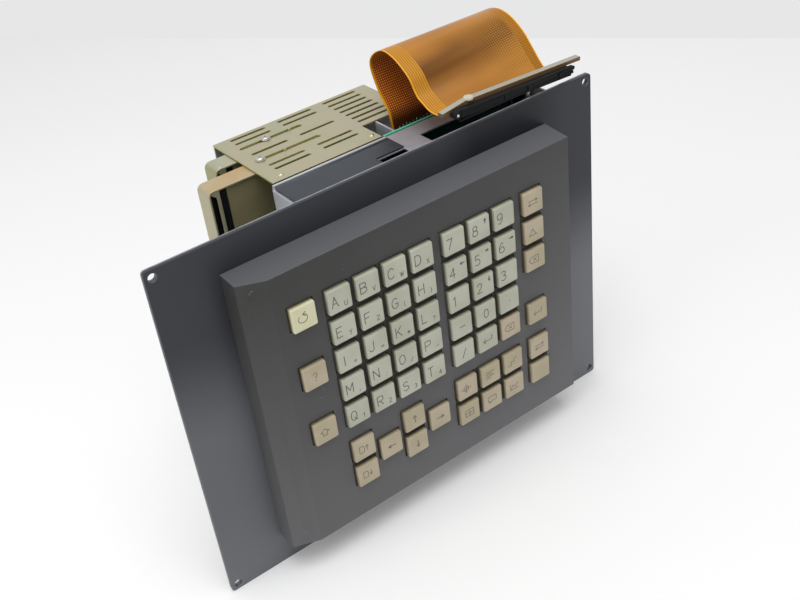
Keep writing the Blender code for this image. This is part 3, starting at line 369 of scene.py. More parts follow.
def film_inside():
    """The same film from inside: openings of the ground mesh every 1.4 mm show bright amber between dark
    copper, painted light that passes through the film.

    It darkens toward its root in the socket, partly flux and dirt and partly painted shade.
    """
    material, node, where = begin("polyimide_film_inside")
    _, _, rim, _, holes = film_places(node, 1.5, 0.22, 0.42)
    # Darker toward the root in the socket: partly flux and dirt, partly painted shade
    root_dirt_and_shade = node("ramp", node("axes", where)["Z"], 105 * MM, 97 * MM, 0, 0.85)
    # Copper and openings are brightened as painted light passing through the film; the openings most
    body = node("blend", root_dirt_and_shade, node("blend", holes, "90320C", "FFAE42"), "2A120B")
    colour = node("blend", rim, body, "F2A924")
    return end(material, colour, 0.36, {"Specular IOR Level": 0.4}, holes, 0.02)


def film_edge():
    """Cut edge of the film, where the light that runs inside the amber comes out."""
    material, node, where = begin("polyimide_cut_edge")
    return end(material, node("blend", node("noise", where, 200.0), "F4AC2C", "E99A1E"), 0.35)


def moulded_nylon(name, plain, worn):
    """Glass-filled nylon, moulded: matt, with a fine 0.3 mm grain."""
    material, node, where = begin(name)
    colour = node("blend", node("noise", where, 200.0, 3.0), plain, worn)
    return end(material, colour, 0.52, {"Specular IOR Level": 0.16}, node("noise", where, 3300.0), 0.01)


def bright_plating(name, plain, dull, roughness):
    """Bright plating on small turned or stamped parts, dulled in small clouds by fingers."""
    material, node, where = begin(name)
    cloud = node("noise", where, 700.0, 3.0)
    sheen = node("ramp", cloud, 0, 1, roughness, roughness + 0.14)
    return end(material, node("blend", cloud, plain, dull), sheen, {"Metallic": 1.0})


# Shapes
# A shape is (points in millimetres, list of faces, material number). Pieces are made of several.

# Softened copies: points this near in metres are one; degrees below which faces are one flat face, below
# which they are shaded as one, and above which their edge is rounded
MERGE_DISTANCE = 2e-6
FLAT_ANGLE, SHADED_ANGLE, ROUNDED_ANGLE = 0.6, 25.0, 30.0


def box(node):
    """A node's lowest and highest corner in millimetres."""
    return np.array(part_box(node)) / MM


def middle_of(node):
    """A node's middle across the panel, X and Z."""
    middle = box(node).mean(0)
    return middle[0], middle[2]


def spokes(count):
    """Directions spread evenly round a full turn."""
    turn = np.linspace(0, 2 * np.pi, count, endpoint=False)
    return np.stack([np.cos(turn), np.sin(turn)], -1)


def sideways(line):
    """The direction square to a line at each of its points."""
    ahead = np.gradient(line, axis=0)
    ahead /= np.linalg.norm(ahead, axis=1, keepdims=True)
    return np.stack([-ahead[:, 1], ahead[:, 0]], -1)


def grid_faces(rows, columns, wrap=True):
    """Four-sided faces of a grid numbered row by row; each row may close on itself."""
    i = np.arange(rows - 1)[:, None]
    j = np.arange(columns if wrap else columns - 1)[None, :]
    k = (j + 1) % columns
    quads = np.stack([i * columns + j, i * columns + k, (i + 1) * columns + k, (i + 1) * columns + j], -1)
    return quads.reshape(-1, 4).tolist()


def ring_stack(rings, slot=0):
    """A closed skin over rings of points, given as an array (rings, points, 3), with both ends capped."""
    rings = np.asarray(rings, float)
    count, size = rings.shape[:2]
    faces = grid_faces(count, size)
    faces.append(list(range(size))[::-1])
    faces.append(list(range((count - 1) * size, count * size)))
    return rings.reshape(-1, 3), faces, slot


def on_axis(flat, levels, axis):
    """Puts flat outlines (rings, points, 2) at levels along X, Y or Z."""
    flat = np.asarray(flat, float)
    along = np.broadcast_to(np.asarray(levels, float)[:, None], flat.shape[:2])
    order = {"X": (2, 0, 1), "Y": (0, 2, 1), "Z": (0, 1, 2)}[axis]
    return np.stack([flat[..., 0], flat[..., 1], along], -1)[..., list(order)]


def turned(profile, centre, axis="Z", sides=24, slot=0):
    """A turned solid: profile pairs (radius, level) carried round a full turn about an axis.

    The centre's two numbers are its place across the axis.
    """
    profile = np.asarray(profile, float)
    flat = profile[:, 0, None, None] * spokes(sides)[None] + np.asarray(centre, float)
    return ring_stack(on_axis(flat, profile[:, 1], axis), slot)


def rounded_square(half_x, half_z, corner, steps=4):
    """Points round a rectangle: each corner a quarter circle of one radius."""
    turn = np.linspace(0, np.pi / 2, steps)
    points = []
    for quarter, (sx, sz) in enumerate(((1, 1), (-1, 1), (-1, -1), (1, -1))):
        angle = turn + quarter * np.pi / 2
        points.append(np.stack([sx * (half_x - corner) + corner * np.cos(angle),
                                sz * (half_z - corner) + corner * np.sin(angle)], -1))
    return np.concatenate(points)


def cushion_block(low, high, edge, axis="Y", slot=0, steps=2):
    """A block between two corners: stacked rings whose inset follows a quarter circle at both ends."""
    low, high = np.asarray(low, float), np.asarray(high, float)
    number = "XYZ".index(axis)
    across = [i for i in range(3) if i != number]
    middle = (low + high)[across] / 2
    half = (high - low)[across] / 2
    edge = min(edge, *(half * 0.9), (high - low)[number] * 0.45)
    bend = np.linspace(0, np.pi / 2, steps + 1)
    inset = edge * (1 - np.sin(bend))
    rise = edge * (1 - np.cos(bend))
    insets = np.concatenate([inset, inset[::-1]])
    levels = np.concatenate([low[number] + rise, high[number] - rise[::-1]])
    flat = np.stack([rounded_square(half[0] - s, half[1] - s, max(edge - s * 0.5, edge * 0.3), 3)
                     for s in insets]) + middle
    return ring_stack(on_axis(flat, levels, axis), slot)


def post(x, z, half_x, half_z, near, far, edge, **options):
    """A cushion block by its middle and half sizes across the panel, and its two depths."""
    return cushion_block((x - half_x, near, z - half_z), (x + half_x, far, z + half_z), edge, **options)


def prism(outline, start, end, axis="Y", edge=0.0):
    """An outline carried along an axis; a small edge insets its first and last rings."""
    outline = np.asarray(outline, float)
    ahead = np.roll(outline, -1, 0) - outline
    behind = outline - np.roll(outline, 1, 0)
    ahead /= np.linalg.norm(ahead, axis=1, keepdims=True)
    behind /= np.linalg.norm(behind, axis=1, keepdims=True)
    inward = np.stack([-(ahead + behind)[:, 1], (ahead + behind)[:, 0]], -1)
    inward /= np.maximum(np.sum(inward * np.stack([-ahead[:, 1], ahead[:, 0]], -1), 1, keepdims=True), 0.3)
    area = np.sum(outline[:, 0] * np.roll(outline[:, 1], -1) - outline[:, 1] * np.roll(outline[:, 0], -1))
    small = outline + inward * edge * np.sign(area)
    sign = 1 if end > start else -1
    levels = (start, start + sign * edge, end - sign * edge, end)
    return ring_stack(on_axis(np.stack([small, outline, outline, small]), levels, axis))


def make_piece(name, shapes, materials, body="panel", smooth=40.0, stands_for=()):
    """Joins shapes into one piece, faces outwards, and lets it ride on a body."""
    points, faces, numbers = [], [], []
    start = 0
    for shape_points, shape_faces, number in shapes:
        points.append(shape_points)
        faces.extend([[i + start for i in face] for face in shape_faces])
        numbers.extend([number] * len(shape_faces))
        start += len(shape_points)
    mesh = mesh_of(name, np.concatenate(points), faces, numbers)
    settle(name, mesh, materials, body, smooth, stands_for)


def mesh_of(name, points, faces, numbers):
    """A mesh of points in millimetres and faces with material numbers, every closed shell facing out."""
    mesh = bpy.data.meshes.new(name)
    mesh.from_pydata((points * MM).tolist(), [], faces)
    mesh.polygons.foreach_set("material_index", numbers)
    bm = bmesh.new()
    bm.from_mesh(mesh)
    bmesh.ops.recalc_face_normals(bm, faces=bm.faces)
    bm.to_mesh(mesh)
    bm.free()
    return mesh


def link(item):
    """Puts an object into the scene."""
    bpy.context.scene.collection.objects.link(item)
    return item


def settle(name, mesh, materials, body, smooth, stands_for):
    """Makes the object of a finished mesh, with its materials and body."""
    for material in materials:
        mesh.materials.append(material)
    mesh.shade_smooth()
    mesh.set_sharp_from_angle(angle=math.radians(smooth))
    item = link(bpy.data.objects.new(name, mesh))
    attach(item, body)
    if stands_for:
        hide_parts(*stands_for)
    return item


def softened(node, radius, material, slot, segments=2):
    """A merged copy of a CAD node whose sharp edges are rounded; it stands for the node."""
    source = NODES[node]
    bm = bmesh.new()
    bm.from_mesh(source.data)
    bmesh.ops.remove_doubles(bm, verts=bm.verts, dist=MERGE_DISTANCE)
    bmesh.ops.dissolve_limit(bm, angle_limit=math.radians(FLAT_ANGLE), verts=bm.verts, edges=bm.edges)
    mesh = bpy.data.meshes.new(node + "_finished")
    bm.to_mesh(mesh)
    bm.free()
    mesh.polygons.foreach_set("material_index", [0] * len(mesh.polygons))
    item = settle(node + "_finished", mesh, [material], source["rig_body"], SHADED_ANGLE, (node,))
    bevel = item.modifiers.new("rounded_edges", "BEVEL")
    bevel.width = radius * MM
    bevel.segments = segments
    bevel.limit_method = "ANGLE"
    bevel.angle_limit = math.radians(ROUNDED_ANGLE)
    bevel.harden_normals = True


# Legends
# Strokes on a cell one unit high: L joins points with straight lines, C with a smooth curve.

GLYPHS = {
    "A": "L 0 0 .31 1 .62 0, L .11 .36 .51 .36",
    "B": "L 0 0 0 1 .34 1, C .34 1 .56 .9 .55 .64 .34 .54, L 0 .54 .34 .54, "
          "C .34 .54 .6 .44 .6 .12 .34 0, L .34 0 0 0",
    "C": "C .6 .8 .46 .97 .3 1 .08 .84 0 .5 .08 .16 .3 0 .46 .03 .6 .2",
    "D": "L .26 0 0 0 0 1 .26 1, C .26 1 .52 .86 .6 .5 .52 .14 .26 0",
    "E": "L .54 0 0 0 0 1 .54 1, L 0 .53 .46 .53", "F": "L 0 0 0 1 .54 1, L 0 .53 .44 .53",
    "G": "C .6 .8 .46 .97 .3 1 .08 .84 0 .5 .08 .16 .3 0 .5 .05 .62 .26, L .62 .26 .62 .46 .34 .46",
    "H": "L 0 0 0 1, L .6 0 .6 1, L 0 .52 .6 .52", "I": "L .3 0 .3 1",
    "J": "L .48 1 .48 .26, C .48 .26 .42 .05 .24 0 .06 .06 0 .26",
    "K": "L 0 0 0 1, L .58 1 0 .4, L .2 .6 .6 0", "L": "L 0 1 0 0 .5 0", "M": "L 0 0 0 1 .34 .3 .68 1 .68 0",
    "N": "L 0 0 0 1 .6 0 .6 1", "O": "C .3 1 .07 .85 0 .5 .07 .15 .3 0 .53 .15 .6 .5 .53 .85 .3 1",
    "P": "L 0 0 0 1 .34 1, C .34 1 .58 .92 .57 .56 .34 .47, L .34 .47 0 .47",
    "Q": "C .3 1 .07 .85 0 .5 .07 .15 .3 0 .53 .15 .6 .5 .53 .85 .3 1, L .36 .26 .62 -.04",
    "R": "L 0 0 0 1 .34 1, C .34 1 .58 .92 .57 .56 .34 .47, L .34 .47 0 .47, L .28 .47 .58 0",
    "S": "C .54 .84 .3 1 .06 .85 .1 .6 .32 .52 .54 .4 .56 .14 .3 0 .02 .16", "T": "L 0 1 .6 1, L .3 1 .3 0",
    "U": "L 0 1 0 .3, C 0 .3 .08 .06 .3 0 .52 .06 .6 .3, L .6 .3 .6 1", "V": "L 0 1 .3 0 .6 1",
    "W": "L 0 1 .19 0 .38 .9 .57 0 .76 1", "X": "L 0 0 .58 1, L 0 1 .58 0",
    "Y": "L 0 1 .3 .5 .6 1, L .3 .5 .3 0", "Z": "L 0 1 .58 1 0 0 .58 0",
    "0": "C .28 1 .08 .86 .02 .5 .08 .14 .28 0 .48 .14 .54 .5 .48 .86 .28 1", "1": "L .12 .8 .3 1 .3 0",
    "2": "C .02 .78 .14 .97 .34 1 .53 .84 .48 .6 .26 .3 0 0, L 0 0 .56 0",
    "3": "C .04 .86 .28 1 .52 .84 .46 .62 .26 .54, C .26 .54 .52 .44 .56 .18 .28 0 .02 .14",
    "4": "L .44 0 .44 1 0 .3 .6 .3",
    "5": "L .52 1 .1 1 .05 .56, C .05 .56 .3 .62 .54 .46 .55 .14 .28 0 .02 .1",
    "6": "C .5 .92 .3 1 .08 .76 0 .36 .1 .06 .3 0 .54 .1 .58 .32 .46 .54 .28 .58 .06 .44 .01 .3",
    "7": "L 0 1 .58 1 .2 0",
    "8": "C .29 1 .08 .9 .08 .64 .29 .54 .5 .64 .5 .9 .29 1, "
          "C .29 .54 .05 .42 .03 .12 .29 0 .55 .12 .53 .42 .29 .54",
    "9": "C .1 .08 .3 0 .52 .24 .6 .64 .5 .94 .3 1 .06 .9 .02 .68 .14 .46 .32 .42 .54 .56 .59 .7",
    "-": "L 0 .5 .6 .5", "/": "L 0 0 .45 1", ".": "L .24 .02 .32 .02", "+": "L 0 .5 .6 .5, L .3 .2 .3 .8",
    "=": "L 0 .36 .6 .36, L 0 .64 .6 .64", "(": "C .34 1.05 .12 .8 .12 .2 .34 -.05",
    ")": "C .1 1.05 .32 .8 .32 .2 .1 -.05", ",": "L .26 .12 .14 -.16",
    ":": "L .24 .14 .32 .14, L .24 .7 .32 .7",
    "?": "C 0 .8 .1 .97 .28 1 .5 .86 .42 .6 .28 .44 .28 .28, L .24 .03 .32 .03",
    "*": "L .3 .1 .3 .9, L 0 .3 .6 .7, L 0 .7 .6 .3", "up": "L .3 0 .3 1, L .08 .66 .3 1 .52 .66",
    "down": "L .3 0 .3 1, L .08 .34 .3 0 .52 .34", "left": "L -.2 .5 .8 .5, L .14 .72 -.2 .5 .14 .28",
    "right": "L -.2 .5 .8 .5, L .46 .72 .8 .5 .46 .28",
    "swap": "L 0 .75 1.5 .75, L 1.2 .95 1.5 .75 1.2 .55, L 1.5 .25 0 .25, L .3 .45 0 .25 .3 .05",
    "caret": "L 0 .1 .5 .9 1 .1, L -.2 0 1.2 0",
    "erase": "L -.3 .5 .1 1 1.3 1 1.3 0 .1 0 -.3 .5, L .4 .25 .9 .75, L .4 .75 .9 .25",
    "enter": "L 1.4 1 1.4 .4 0 .4, L .35 .7 0 .4 .35 .1",
    "cross": "L -.3 .5 1.3 .5, L .5 -.2 .5 1.2, C .5 .9 .18 .8 .1 .5 .18 .2 .5 .1 .82 .2 .9 .5 .82 .8 .5 .9",
    "lines": "L 0 1 1.4 1, L 0 .67 1 .67, L 0 .33 1.3 .33, L 0 0 .8 0",
    "steps": "L -.1 0 .4 0 .4 .5 .9 .5 .9 1 1.4 1",
    "cells": "L 0 0 1.4 0 1.4 1 0 1 0 0, L 0 .5 1.4 .5, L .7 0 .7 1",
    "note": "L 0 .25 0 1 1.4 1 1.4 .25 .6 .25 .3 -.1 .3 .25 0 .25",
    "chart": "L 0 1 0 0 1.4 0, L .1 .2 .5 .7 .85 .35 1.3 .9",
    "page_up": "L 0 0 0 1 .5 1 .7 .8 .7 0 0 0, L 1.15 .1 1.15 .9, L .95 .6 1.15 .9 1.35 .6",
    "page_down": "L 0 0 0 1 .5 1 .7 .8 .7 0 0 0, L 1.15 .1 1.15 .9, L .95 .4 1.15 .1 1.35 .4",
    "shift": "L .3 0 .3 .5 0 .5 .6 1 1.2 .5 .9 .5 .9 0 .3 0",
    "restart": "C .2 .85 0 .5 .15 .12 .6 -.05 1.05 .12 1.2 .5 1.05 .88 .7 1.03, L 1 1.25 .66 1.03 .95 .72",
}

# Places of a key's marks: lower left corner from the key's middle, height, stroke width
MAIN = (-5.2, -3.1, 6.2, 0.50)
MINOR = (2.4, -4.6, 2.9, 0.34)
RAISED = (3.0, 2.2, 2.8, 0.62)
MIDDLE = (-1.7, -2.9, 5.8, 0.50)
POINT = (-1.7, 0.0, 6.0, 0.50)
WORD = (-3.7, -2.2, 4.5, 0.42)
ARROW = (-1.6, -2.4, 4.8, 0.6)
FIXED_PLACES = {"?": (-1.6, -2.6, 5.0, 0.45), "left": ARROW, "right": ARROW, "up": ARROW, "down": ARROW}

LETTER_MARKS = ("ABCD", "EFGH", "IJKL", "MNOP", "QRST")
MINOR_MARKS = ("UVWX", "YZ()", "+=*?", ",:/-", "1234")
RAISED_MARKS = {"8": "up", "4": "left", "6": "right", "2": "down", "5": "="}
OTHER_MARKS = {
    "minus_key": ("-", MIDDLE), "point_key": (".", POINT), "slash_key": ("/", MIDDLE),
    "end_of_block_key": ("enter", WORD), "cancel_key": ("erase", WORD), "reset_key": ("restart", WORD),
    "alter_key": ("swap", WORD), "insert_key": ("caret", WORD), "delete_key": ("erase", WORD),
    "input_key": ("enter", WORD),
}


# Key caps

KEY_TOP = -26.5
KEY_DISH = 0.08
CAP_HALF = 7.1
CAP_FILLET = 0.5
CAP_BASE_HALF = 7.3
CAP_CORNER = 0.8
CAP_BASE_CORNER = 0.35
INK_REACH = 0.05
KEY_PITCH_Z = 18.9
LOWER_ROWS_DROP = 26.0
CREAM_KEYS = ("letter", "number", "minus", "point", "slash", "end_of")

# Rings of a cap's bowl and of what carries it: half size, corner radius, level
BOWL = ((2.0, 1.2, None), (4.0, 1.2, None), (5.6, 0.9, None))
MOVING_DEPTH = -20.7
MOVING_FOOT = ((8.0, 1.0, -20.7), (8.0, 1.0, -19.7), (6.1, 0.6, -19.7), (5.9, 0.6, -24.9), (1.8, 0.3, -24.9),
               (1.8, 0.3, -12.6))
FIXED_DEPTH = -19.0
FIXED_FOOT = ((CAP_BASE_HALF, 1.0, -17.5), (2.0, 0.4, -17.5), (2.0, 0.4, -10.9))
MAT_DEPTHS = (-17.8, -16.3)

# Bars between keys: depths of their faces and backs, and half widths
BAR_FACES = (-23.4, -23.36)
BAR_BACK = -21.0
BAR_HALVES = (1.3, 1.8)
BAR_REACH = 8.0
BAR_EDGE = 0.25


def cap_level(x, z):
    """Level of a cap's top: a shallow bowl, deepest in the middle, by the square of the distance."""
    return KEY_TOP + KEY_DISH * np.clip(1 - (x ** 2 + z ** 2) / CAP_HALF ** 2, 0, 1)


def cap_shape(centre, depth_end, foot):
    """A cap as rounded squares: a bowl, a quarter-circle edge, drafted sides, then what carries it."""
    rows = list(BOWL)
    for angle in np.linspace(0, np.pi / 2, 5):
        rows.append((CAP_HALF - CAP_FILLET * (1 - math.sin(angle)), CAP_CORNER,
                     KEY_TOP + CAP_FILLET * (1 - math.cos(angle))))
    rows += [(CAP_BASE_HALF, CAP_BASE_CORNER, depth_end), *foot]
    rings = []
    for half, corner, level in rows:
        x, z = rounded_square(half, half, corner).T
        depth = cap_level(x, z) if level is None else np.full(len(x), level)
        rings.append(np.stack([x + centre[0], depth, z + centre[1]], -1))
    return ring_stack(rings)


def smooth_points(points, steps=5):
    """A smooth curve through points, each span a cubic whose slopes follow its neighbours."""
    points = np.asarray(points, float)
    padded = np.concatenate([points[:1], points, points[-1:]])
    s = np.linspace(0, 1, steps, endpoint=False)[None, :, None]
    before, first, second, after = (padded[i:len(padded) - 3 + i, None] for i in range(4))
    curve = (first * (2 * s ** 3 - 3 * s ** 2 + 1) + (second - before) / 2 * (s ** 3 - 2 * s ** 2 + s)
             + second * (3 * s ** 2 - 2 * s ** 3) + (after - first) / 2 * (s ** 3 - s ** 2))
    return np.concatenate([curve.reshape(-1, 2), points[-1:]])


def stroke_shape(line, width, centre):
    """A printed stroke: a flat four-cornered section carried along a line, just proud of the cap."""
    side = sideways(line) * width / 2
    rings = []
    for sign, lift in ((-1, INK_REACH), (1, INK_REACH), (1, -INK_REACH), (-1, -INK_REACH)):
        x, z = (line + sign * side).T
        rings.append(np.stack([x + centre[0], cap_level(x, z) + lift, z + centre[1]], -1))
    return ring_stack(np.stack(rings, 1), 1)


def mark_shapes(glyph, place, centre):
    """The strokes of one mark on a cap: left, foot, height and stroke width."""
    left, foot, height, width = place
    made = []
    for stroke in GLYPHS[glyph].split(", "):
        kind, *numbers = stroke.split()
        line = np.array([float(n) for n in numbers]).reshape(-1, 2) * height + (left, foot)
        if kind == "C":
            made.append(stroke_shape(smooth_points(line), width, centre))
            continue
        for first, second in zip(line, line[1:]):
            reach = (second - first) / np.linalg.norm(second - first) * width * 0.4
            span = np.stack([first - reach, (first + second) / 2, second + reach])
            made.append(stroke_shape(span, width, centre))
    return made


def key_marks():
    """Every moving key's marks, by the name of its node."""
    marks = {}
    for row, letters, minors in zip("abcde", LETTER_MARKS, MINOR_MARKS):
        for j in range(4):
            marks[f"letter_key_{row}{j + 1}"] = [(letters[j], MAIN), (minors[j], MINOR)]
    for digit in "0123456789":
        marks["number_key_" + digit] = [(digit, MAIN if digit != "0" else MIDDLE)]
        if digit in RAISED_MARKS:
            marks["number_key_" + digit].append((RAISED_MARKS[digit], RAISED))
    marks.update({name: [mark] for name, mark in OTHER_MARKS.items()})
    return marks


def build_moving_keys(finishes):
    """One finished cap for each moving key, on its own body."""
    for name, marks in key_marks().items():
        centre = middle_of(name)
        shapes = [cap_shape(centre, MOVING_DEPTH, MOVING_FOOT)]
        for glyph, place in marks:
            shapes.extend(mark_shapes(glyph, place, centre))
        kind = "cream" if name.startswith(CREAM_KEYS) else "yellow" if name == "reset_key" else "beige"
        plastic, ink, slot = finishes[kind]
        make_piece(name + "_cap", shapes, [plastic, ink], NODES[name]["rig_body"], 40.0, (name,))


def key_places():
    """Columns and rows of the keys that don't move, from the panel's middle."""
    columns = [middle_of("letter_key_e" + n)[0] for n in "1234"]
    numbers = [middle_of("number_key_" + d)[0] for d in "789"]
    single, edit = middle_of("reset_key")[0], middle_of("input_key")[0]
    last_row = middle_of("letter_key_e1")[1]
    upper = last_row - LOWER_ROWS_DROP
    return columns, numbers, single, edit, last_row, upper, upper - KEY_PITCH_Z


def build_function_mat(finishes):
    """The moulding of the page, cursor and select keys: its sheet, caps, marks and feet."""
    columns, numbers, single, edit, last_row, upper, lower = key_places()
    middle = (upper + lower) / 2
    caps = [
        (single, last_row + 2 * KEY_PITCH_Z, "?"), (single, last_row, "shift"),
        (columns[0], upper, "page_up"), (columns[0], lower, "page_down"),
        (columns[1], middle, "left"), (columns[2], upper, "up"), (columns[2], lower, "down"),
        (columns[3], middle, "right"),
        (numbers[0], upper, "cross"), (numbers[1], upper, "lines"), (numbers[2], upper, "steps"),
        (numbers[0], lower, "cells"), (numbers[1], lower, "note"), (numbers[2], lower, "chart"),
        (edit, upper, "swap"), (edit, lower, None),
    ]
    (left, _, foot_z), (right, _, head_z) = box("function_key_mat")
    reach = single - left
    outline = [(left, foot_z), (right, foot_z), (right, upper + reach), (single + reach, upper + reach),
               (single + reach, head_z), (left, head_z)]
    shapes = [prism(outline, *MAT_DEPTHS, edge=0.3)]
    for x, z, glyph in caps:
        shapes.append(cap_shape((x, z), FIXED_DEPTH, FIXED_FOOT))
        if glyph:
            shapes.extend(mark_shapes(glyph, FIXED_PLACES.get(glyph, WORD), (x, z)))
    plastic, ink, slot = finishes["beige"]
    make_piece("function_key_mat_caps", shapes, [plastic, ink], stands_for=("function_key_mat",))


def build_key_web(material):
    """Thin bars between the keys of each group, level with the housing's face."""
    columns, numbers, _, edit, last_row, upper, lower = key_places()
    rows = [last_row + KEY_PITCH_Z * i for i in (4, 3, 2, 1, 0)]
    groups = ((columns, rows), (numbers, rows), ([edit], rows[:3]), (columns[:1], (upper, lower)),
              (columns[2:3], (upper, lower)), (numbers, (upper, lower)), ([edit], (upper, lower)))
    shapes = []
    for xs, zs in groups:
        tall = (max(zs) - min(zs)) / 2 + BAR_REACH
        wide = (max(xs) - min(xs)) / 2 + BAR_REACH
        for x, second in zip(xs, xs[1:]):
            shapes.append(post((x + second) / 2, (max(zs) + min(zs)) / 2, BAR_HALVES[0], tall,
                               BAR_FACES[0], BAR_BACK, BAR_EDGE))
        for z, second in zip(zs, zs[1:]):
            shapes.append(post((max(xs) + min(xs)) / 2, (z + second) / 2, wide, BAR_HALVES[1],
                               BAR_FACES[1], BAR_BACK, BAR_EDGE))
    make_piece("key_bezel_bars", shapes, [material])


# Flat cable
# Points of the film's two edges in the side view, as shares of its reach and of its rise

LEFT_EDGE_SHARES = (
    (0.0, -0.06), (0.11, -0.07), (0.21, -0.04), (0.30, 0.04), (0.39, 0.13), (0.45, 0.26), (0.50, 0.42),
    (0.58, 0.56), (0.67, 0.67), (0.76, 0.76), (0.85, 0.82), (0.95, 0.86), (1.04, 0.85), (1.15, 0.77),
    (1.25, 0.64), (1.31, 0.48), (1.31, 0.30), (1.26, 0.06), (1.18, -0.20), (1.11, -0.36), (1.04, -0.54),
    (1.01, -0.77),
)
RIGHT_EDGE_SHARES = (
    (0.0, 0.02), (0.07, 0.14), (0.16, 0.32), (0.22, 0.44), (0.32, 0.63), (0.46, 0.81), (0.60, 0.93),
    (0.75, 0.98), (0.87, 0.96), (0.99, 0.89), (1.13, 0.74), (1.23, 0.55), (1.28, 0.33), (1.26, 0.07),
    (1.19, -0.18), (1.12, -0.37), (1.04, -0.57), (1.01, -0.77),
)


def film_edge_route(shares, steps):
    """Side view of one edge of the film in even steps: a smooth curve through shares of reach and rise."""
    reach = FILM_REAR_Y - FILM_FRONT_Y
    points = [(FILM_FRONT_Y + a * reach, FILM_TOP_Z + b * FILM_RISE) for a, b in shares]
    points += [(FILM_REAR_Y, SOCKET_TOP_Z), (FILM_REAR_Y, SOCKET_TOP_Z - SLOT_DEPTH)]
    fine = smooth_points(points, 40)
    lengths = np.concatenate([[0], np.cumsum(np.linalg.norm(np.diff(fine, axis=0), axis=1))])
    even = np.linspace(0, lengths[-1], steps)
    return np.stack([np.interp(even, lengths, fine[:, i]) for i in (0, 1)], -1), lengths[-1]


def build_flat_cable(materials):
    """The film as a ruled surface between its two edges, given its thickness along the surface's normal."""
    steps, across = 150, 32
    left, left_length = film_edge_route(LEFT_EDGE_SHARES, steps)
    right, right_length = film_edge_route(RIGHT_EDGE_SHARES, steps)
    v = np.linspace(0, 1, across)[None, :, None]
    flat = left[:, None] * (1 - v) + right[:, None] * v
    x = np.broadcast_to(FILM_LEFT + FILM_WIDTH * v[..., 0], flat.shape[:2])
    middle = np.stack([x, flat[..., 0], flat[..., 1]], -1)
    normal = np.cross(np.gradient(middle, axis=0), np.gradient(middle, axis=1))
    normal /= np.linalg.norm(normal, axis=-1, keepdims=True)
    half = normal * FILM_THICKNESS / 2
    points = np.concatenate([(middle + half).reshape(-1, 3), (middle - half).reshape(-1, 3)])
    count = steps * across
    first_skin = np.array(grid_faces(steps, across, wrap=False))
    second_skin = first_skin[:, ::-1] + count
    grid = np.arange(count).reshape(steps, across)
    rim = np.concatenate([grid[:, 0], grid[-1, 1:], grid[-2::-1, -1], grid[0, -2:0:-1]])
    ahead = np.roll(rim, -1)
    edge = np.stack([rim, ahead, ahead + count, rim + count], -1)
    faces = np.concatenate([first_skin, second_skin, edge]).tolist()
    numbers = np.repeat([0, 1, 2], [len(first_skin), len(second_skin), len(edge)])
    mesh = mesh_of("flat_cable_film", points, faces, numbers)
    i, j = np.divmod(np.arange(2 * count) % count, across)
    length = (left_length + right_length) / 2
    flat_place = np.stack([j / (across - 1) * FILM_WIDTH, i / (steps - 1) * length], -1)
    corners = np.zeros(len(mesh.loops), int)
    mesh.loops.foreach_get("vertex_index", corners)
    mesh.uv_layers.new(name="film").data.foreach_set("uv", flat_place[corners].astype(np.float32).ravel())
    settle("flat_cable_film", mesh, materials, "panel", 40.0, ("flat_cable",))


# Sheet metal parts

COVER_TOP = 99.9
WASHER = ((1.2, 100.3), (3.0, 100.3), (3.0, 100.65), (2.8, 100.72), (1.2, 100.72))
SCREW_HEAD = (100.74, 2.5, 1.3)
GUIDE_PIN = ((1.1, 98.2), (1.1, 100.9), (0.85, 101.25), (0.35, 101.4))
GUIDE_PIN_OFFSET = 16.5
SHANK_RADIUS = 1.1
SHANK_TOP = 100.8
CARRIER_SHEET = 1.2
CARRIER_BEND = 3.0
CARD_HEADROOM = 1.5
POST_PLACE = 4.8
POST_WIDTH = 2.0
GUSSET_REACH = 3.6
GRIP_LIP = 3.2
GRIP_STEP = 3.0
# Black strip in the seam before the cover, which stands in for shade
SHADOW_STRIP_FRONT, SHADOW_STRIP_REAR = (40.75, 99.55), (42.5, 99.8)
CORNER_ANGLE_INSET = (2.2, 4.4)
# Black strip behind the right side wall, which stands in for shade
SIDE_SHADOW_STRIP_INSET = (6.5, 0.2)
STRIP_DEPTH = 4.8
REAR_FOLD = ((34.3, 100.05), (34.3, 101.12), (37.2, 101.2), (38.5, 101.1), (39.5, 100.8), (40.2, 100.35),
             (40.6, 99.75), (40.3, 99.75), (40.2, 100.05))


def bent_strip(route, thickness, low_y, high_y, chamfer):
    """A strip of sheet: its section, a rectangle with cut corners, carried along a route in X and Z."""
    side = sideways(route)
    half, c = thickness / 2, chamfer
    section = ((-half, low_y + c), (-half + c, low_y), (half - c, low_y), (half, low_y + c),
               (half, high_y - c), (half - c, high_y), (-half + c, high_y), (-half, high_y - c))
    flat = np.stack([route + side * s for s, _ in section])
    return ring_stack(on_axis(flat, [y for _, y in section], "Y").swapaxes(0, 1))


def arc(centre, radius, start, end, steps=7):
    """Points on a circle between two angles in degrees."""
    turn = np.radians(np.linspace(start, end, steps))
    return np.stack([centre[0] + radius * np.cos(turn), centre[1] + radius * np.sin(turn)], -1)


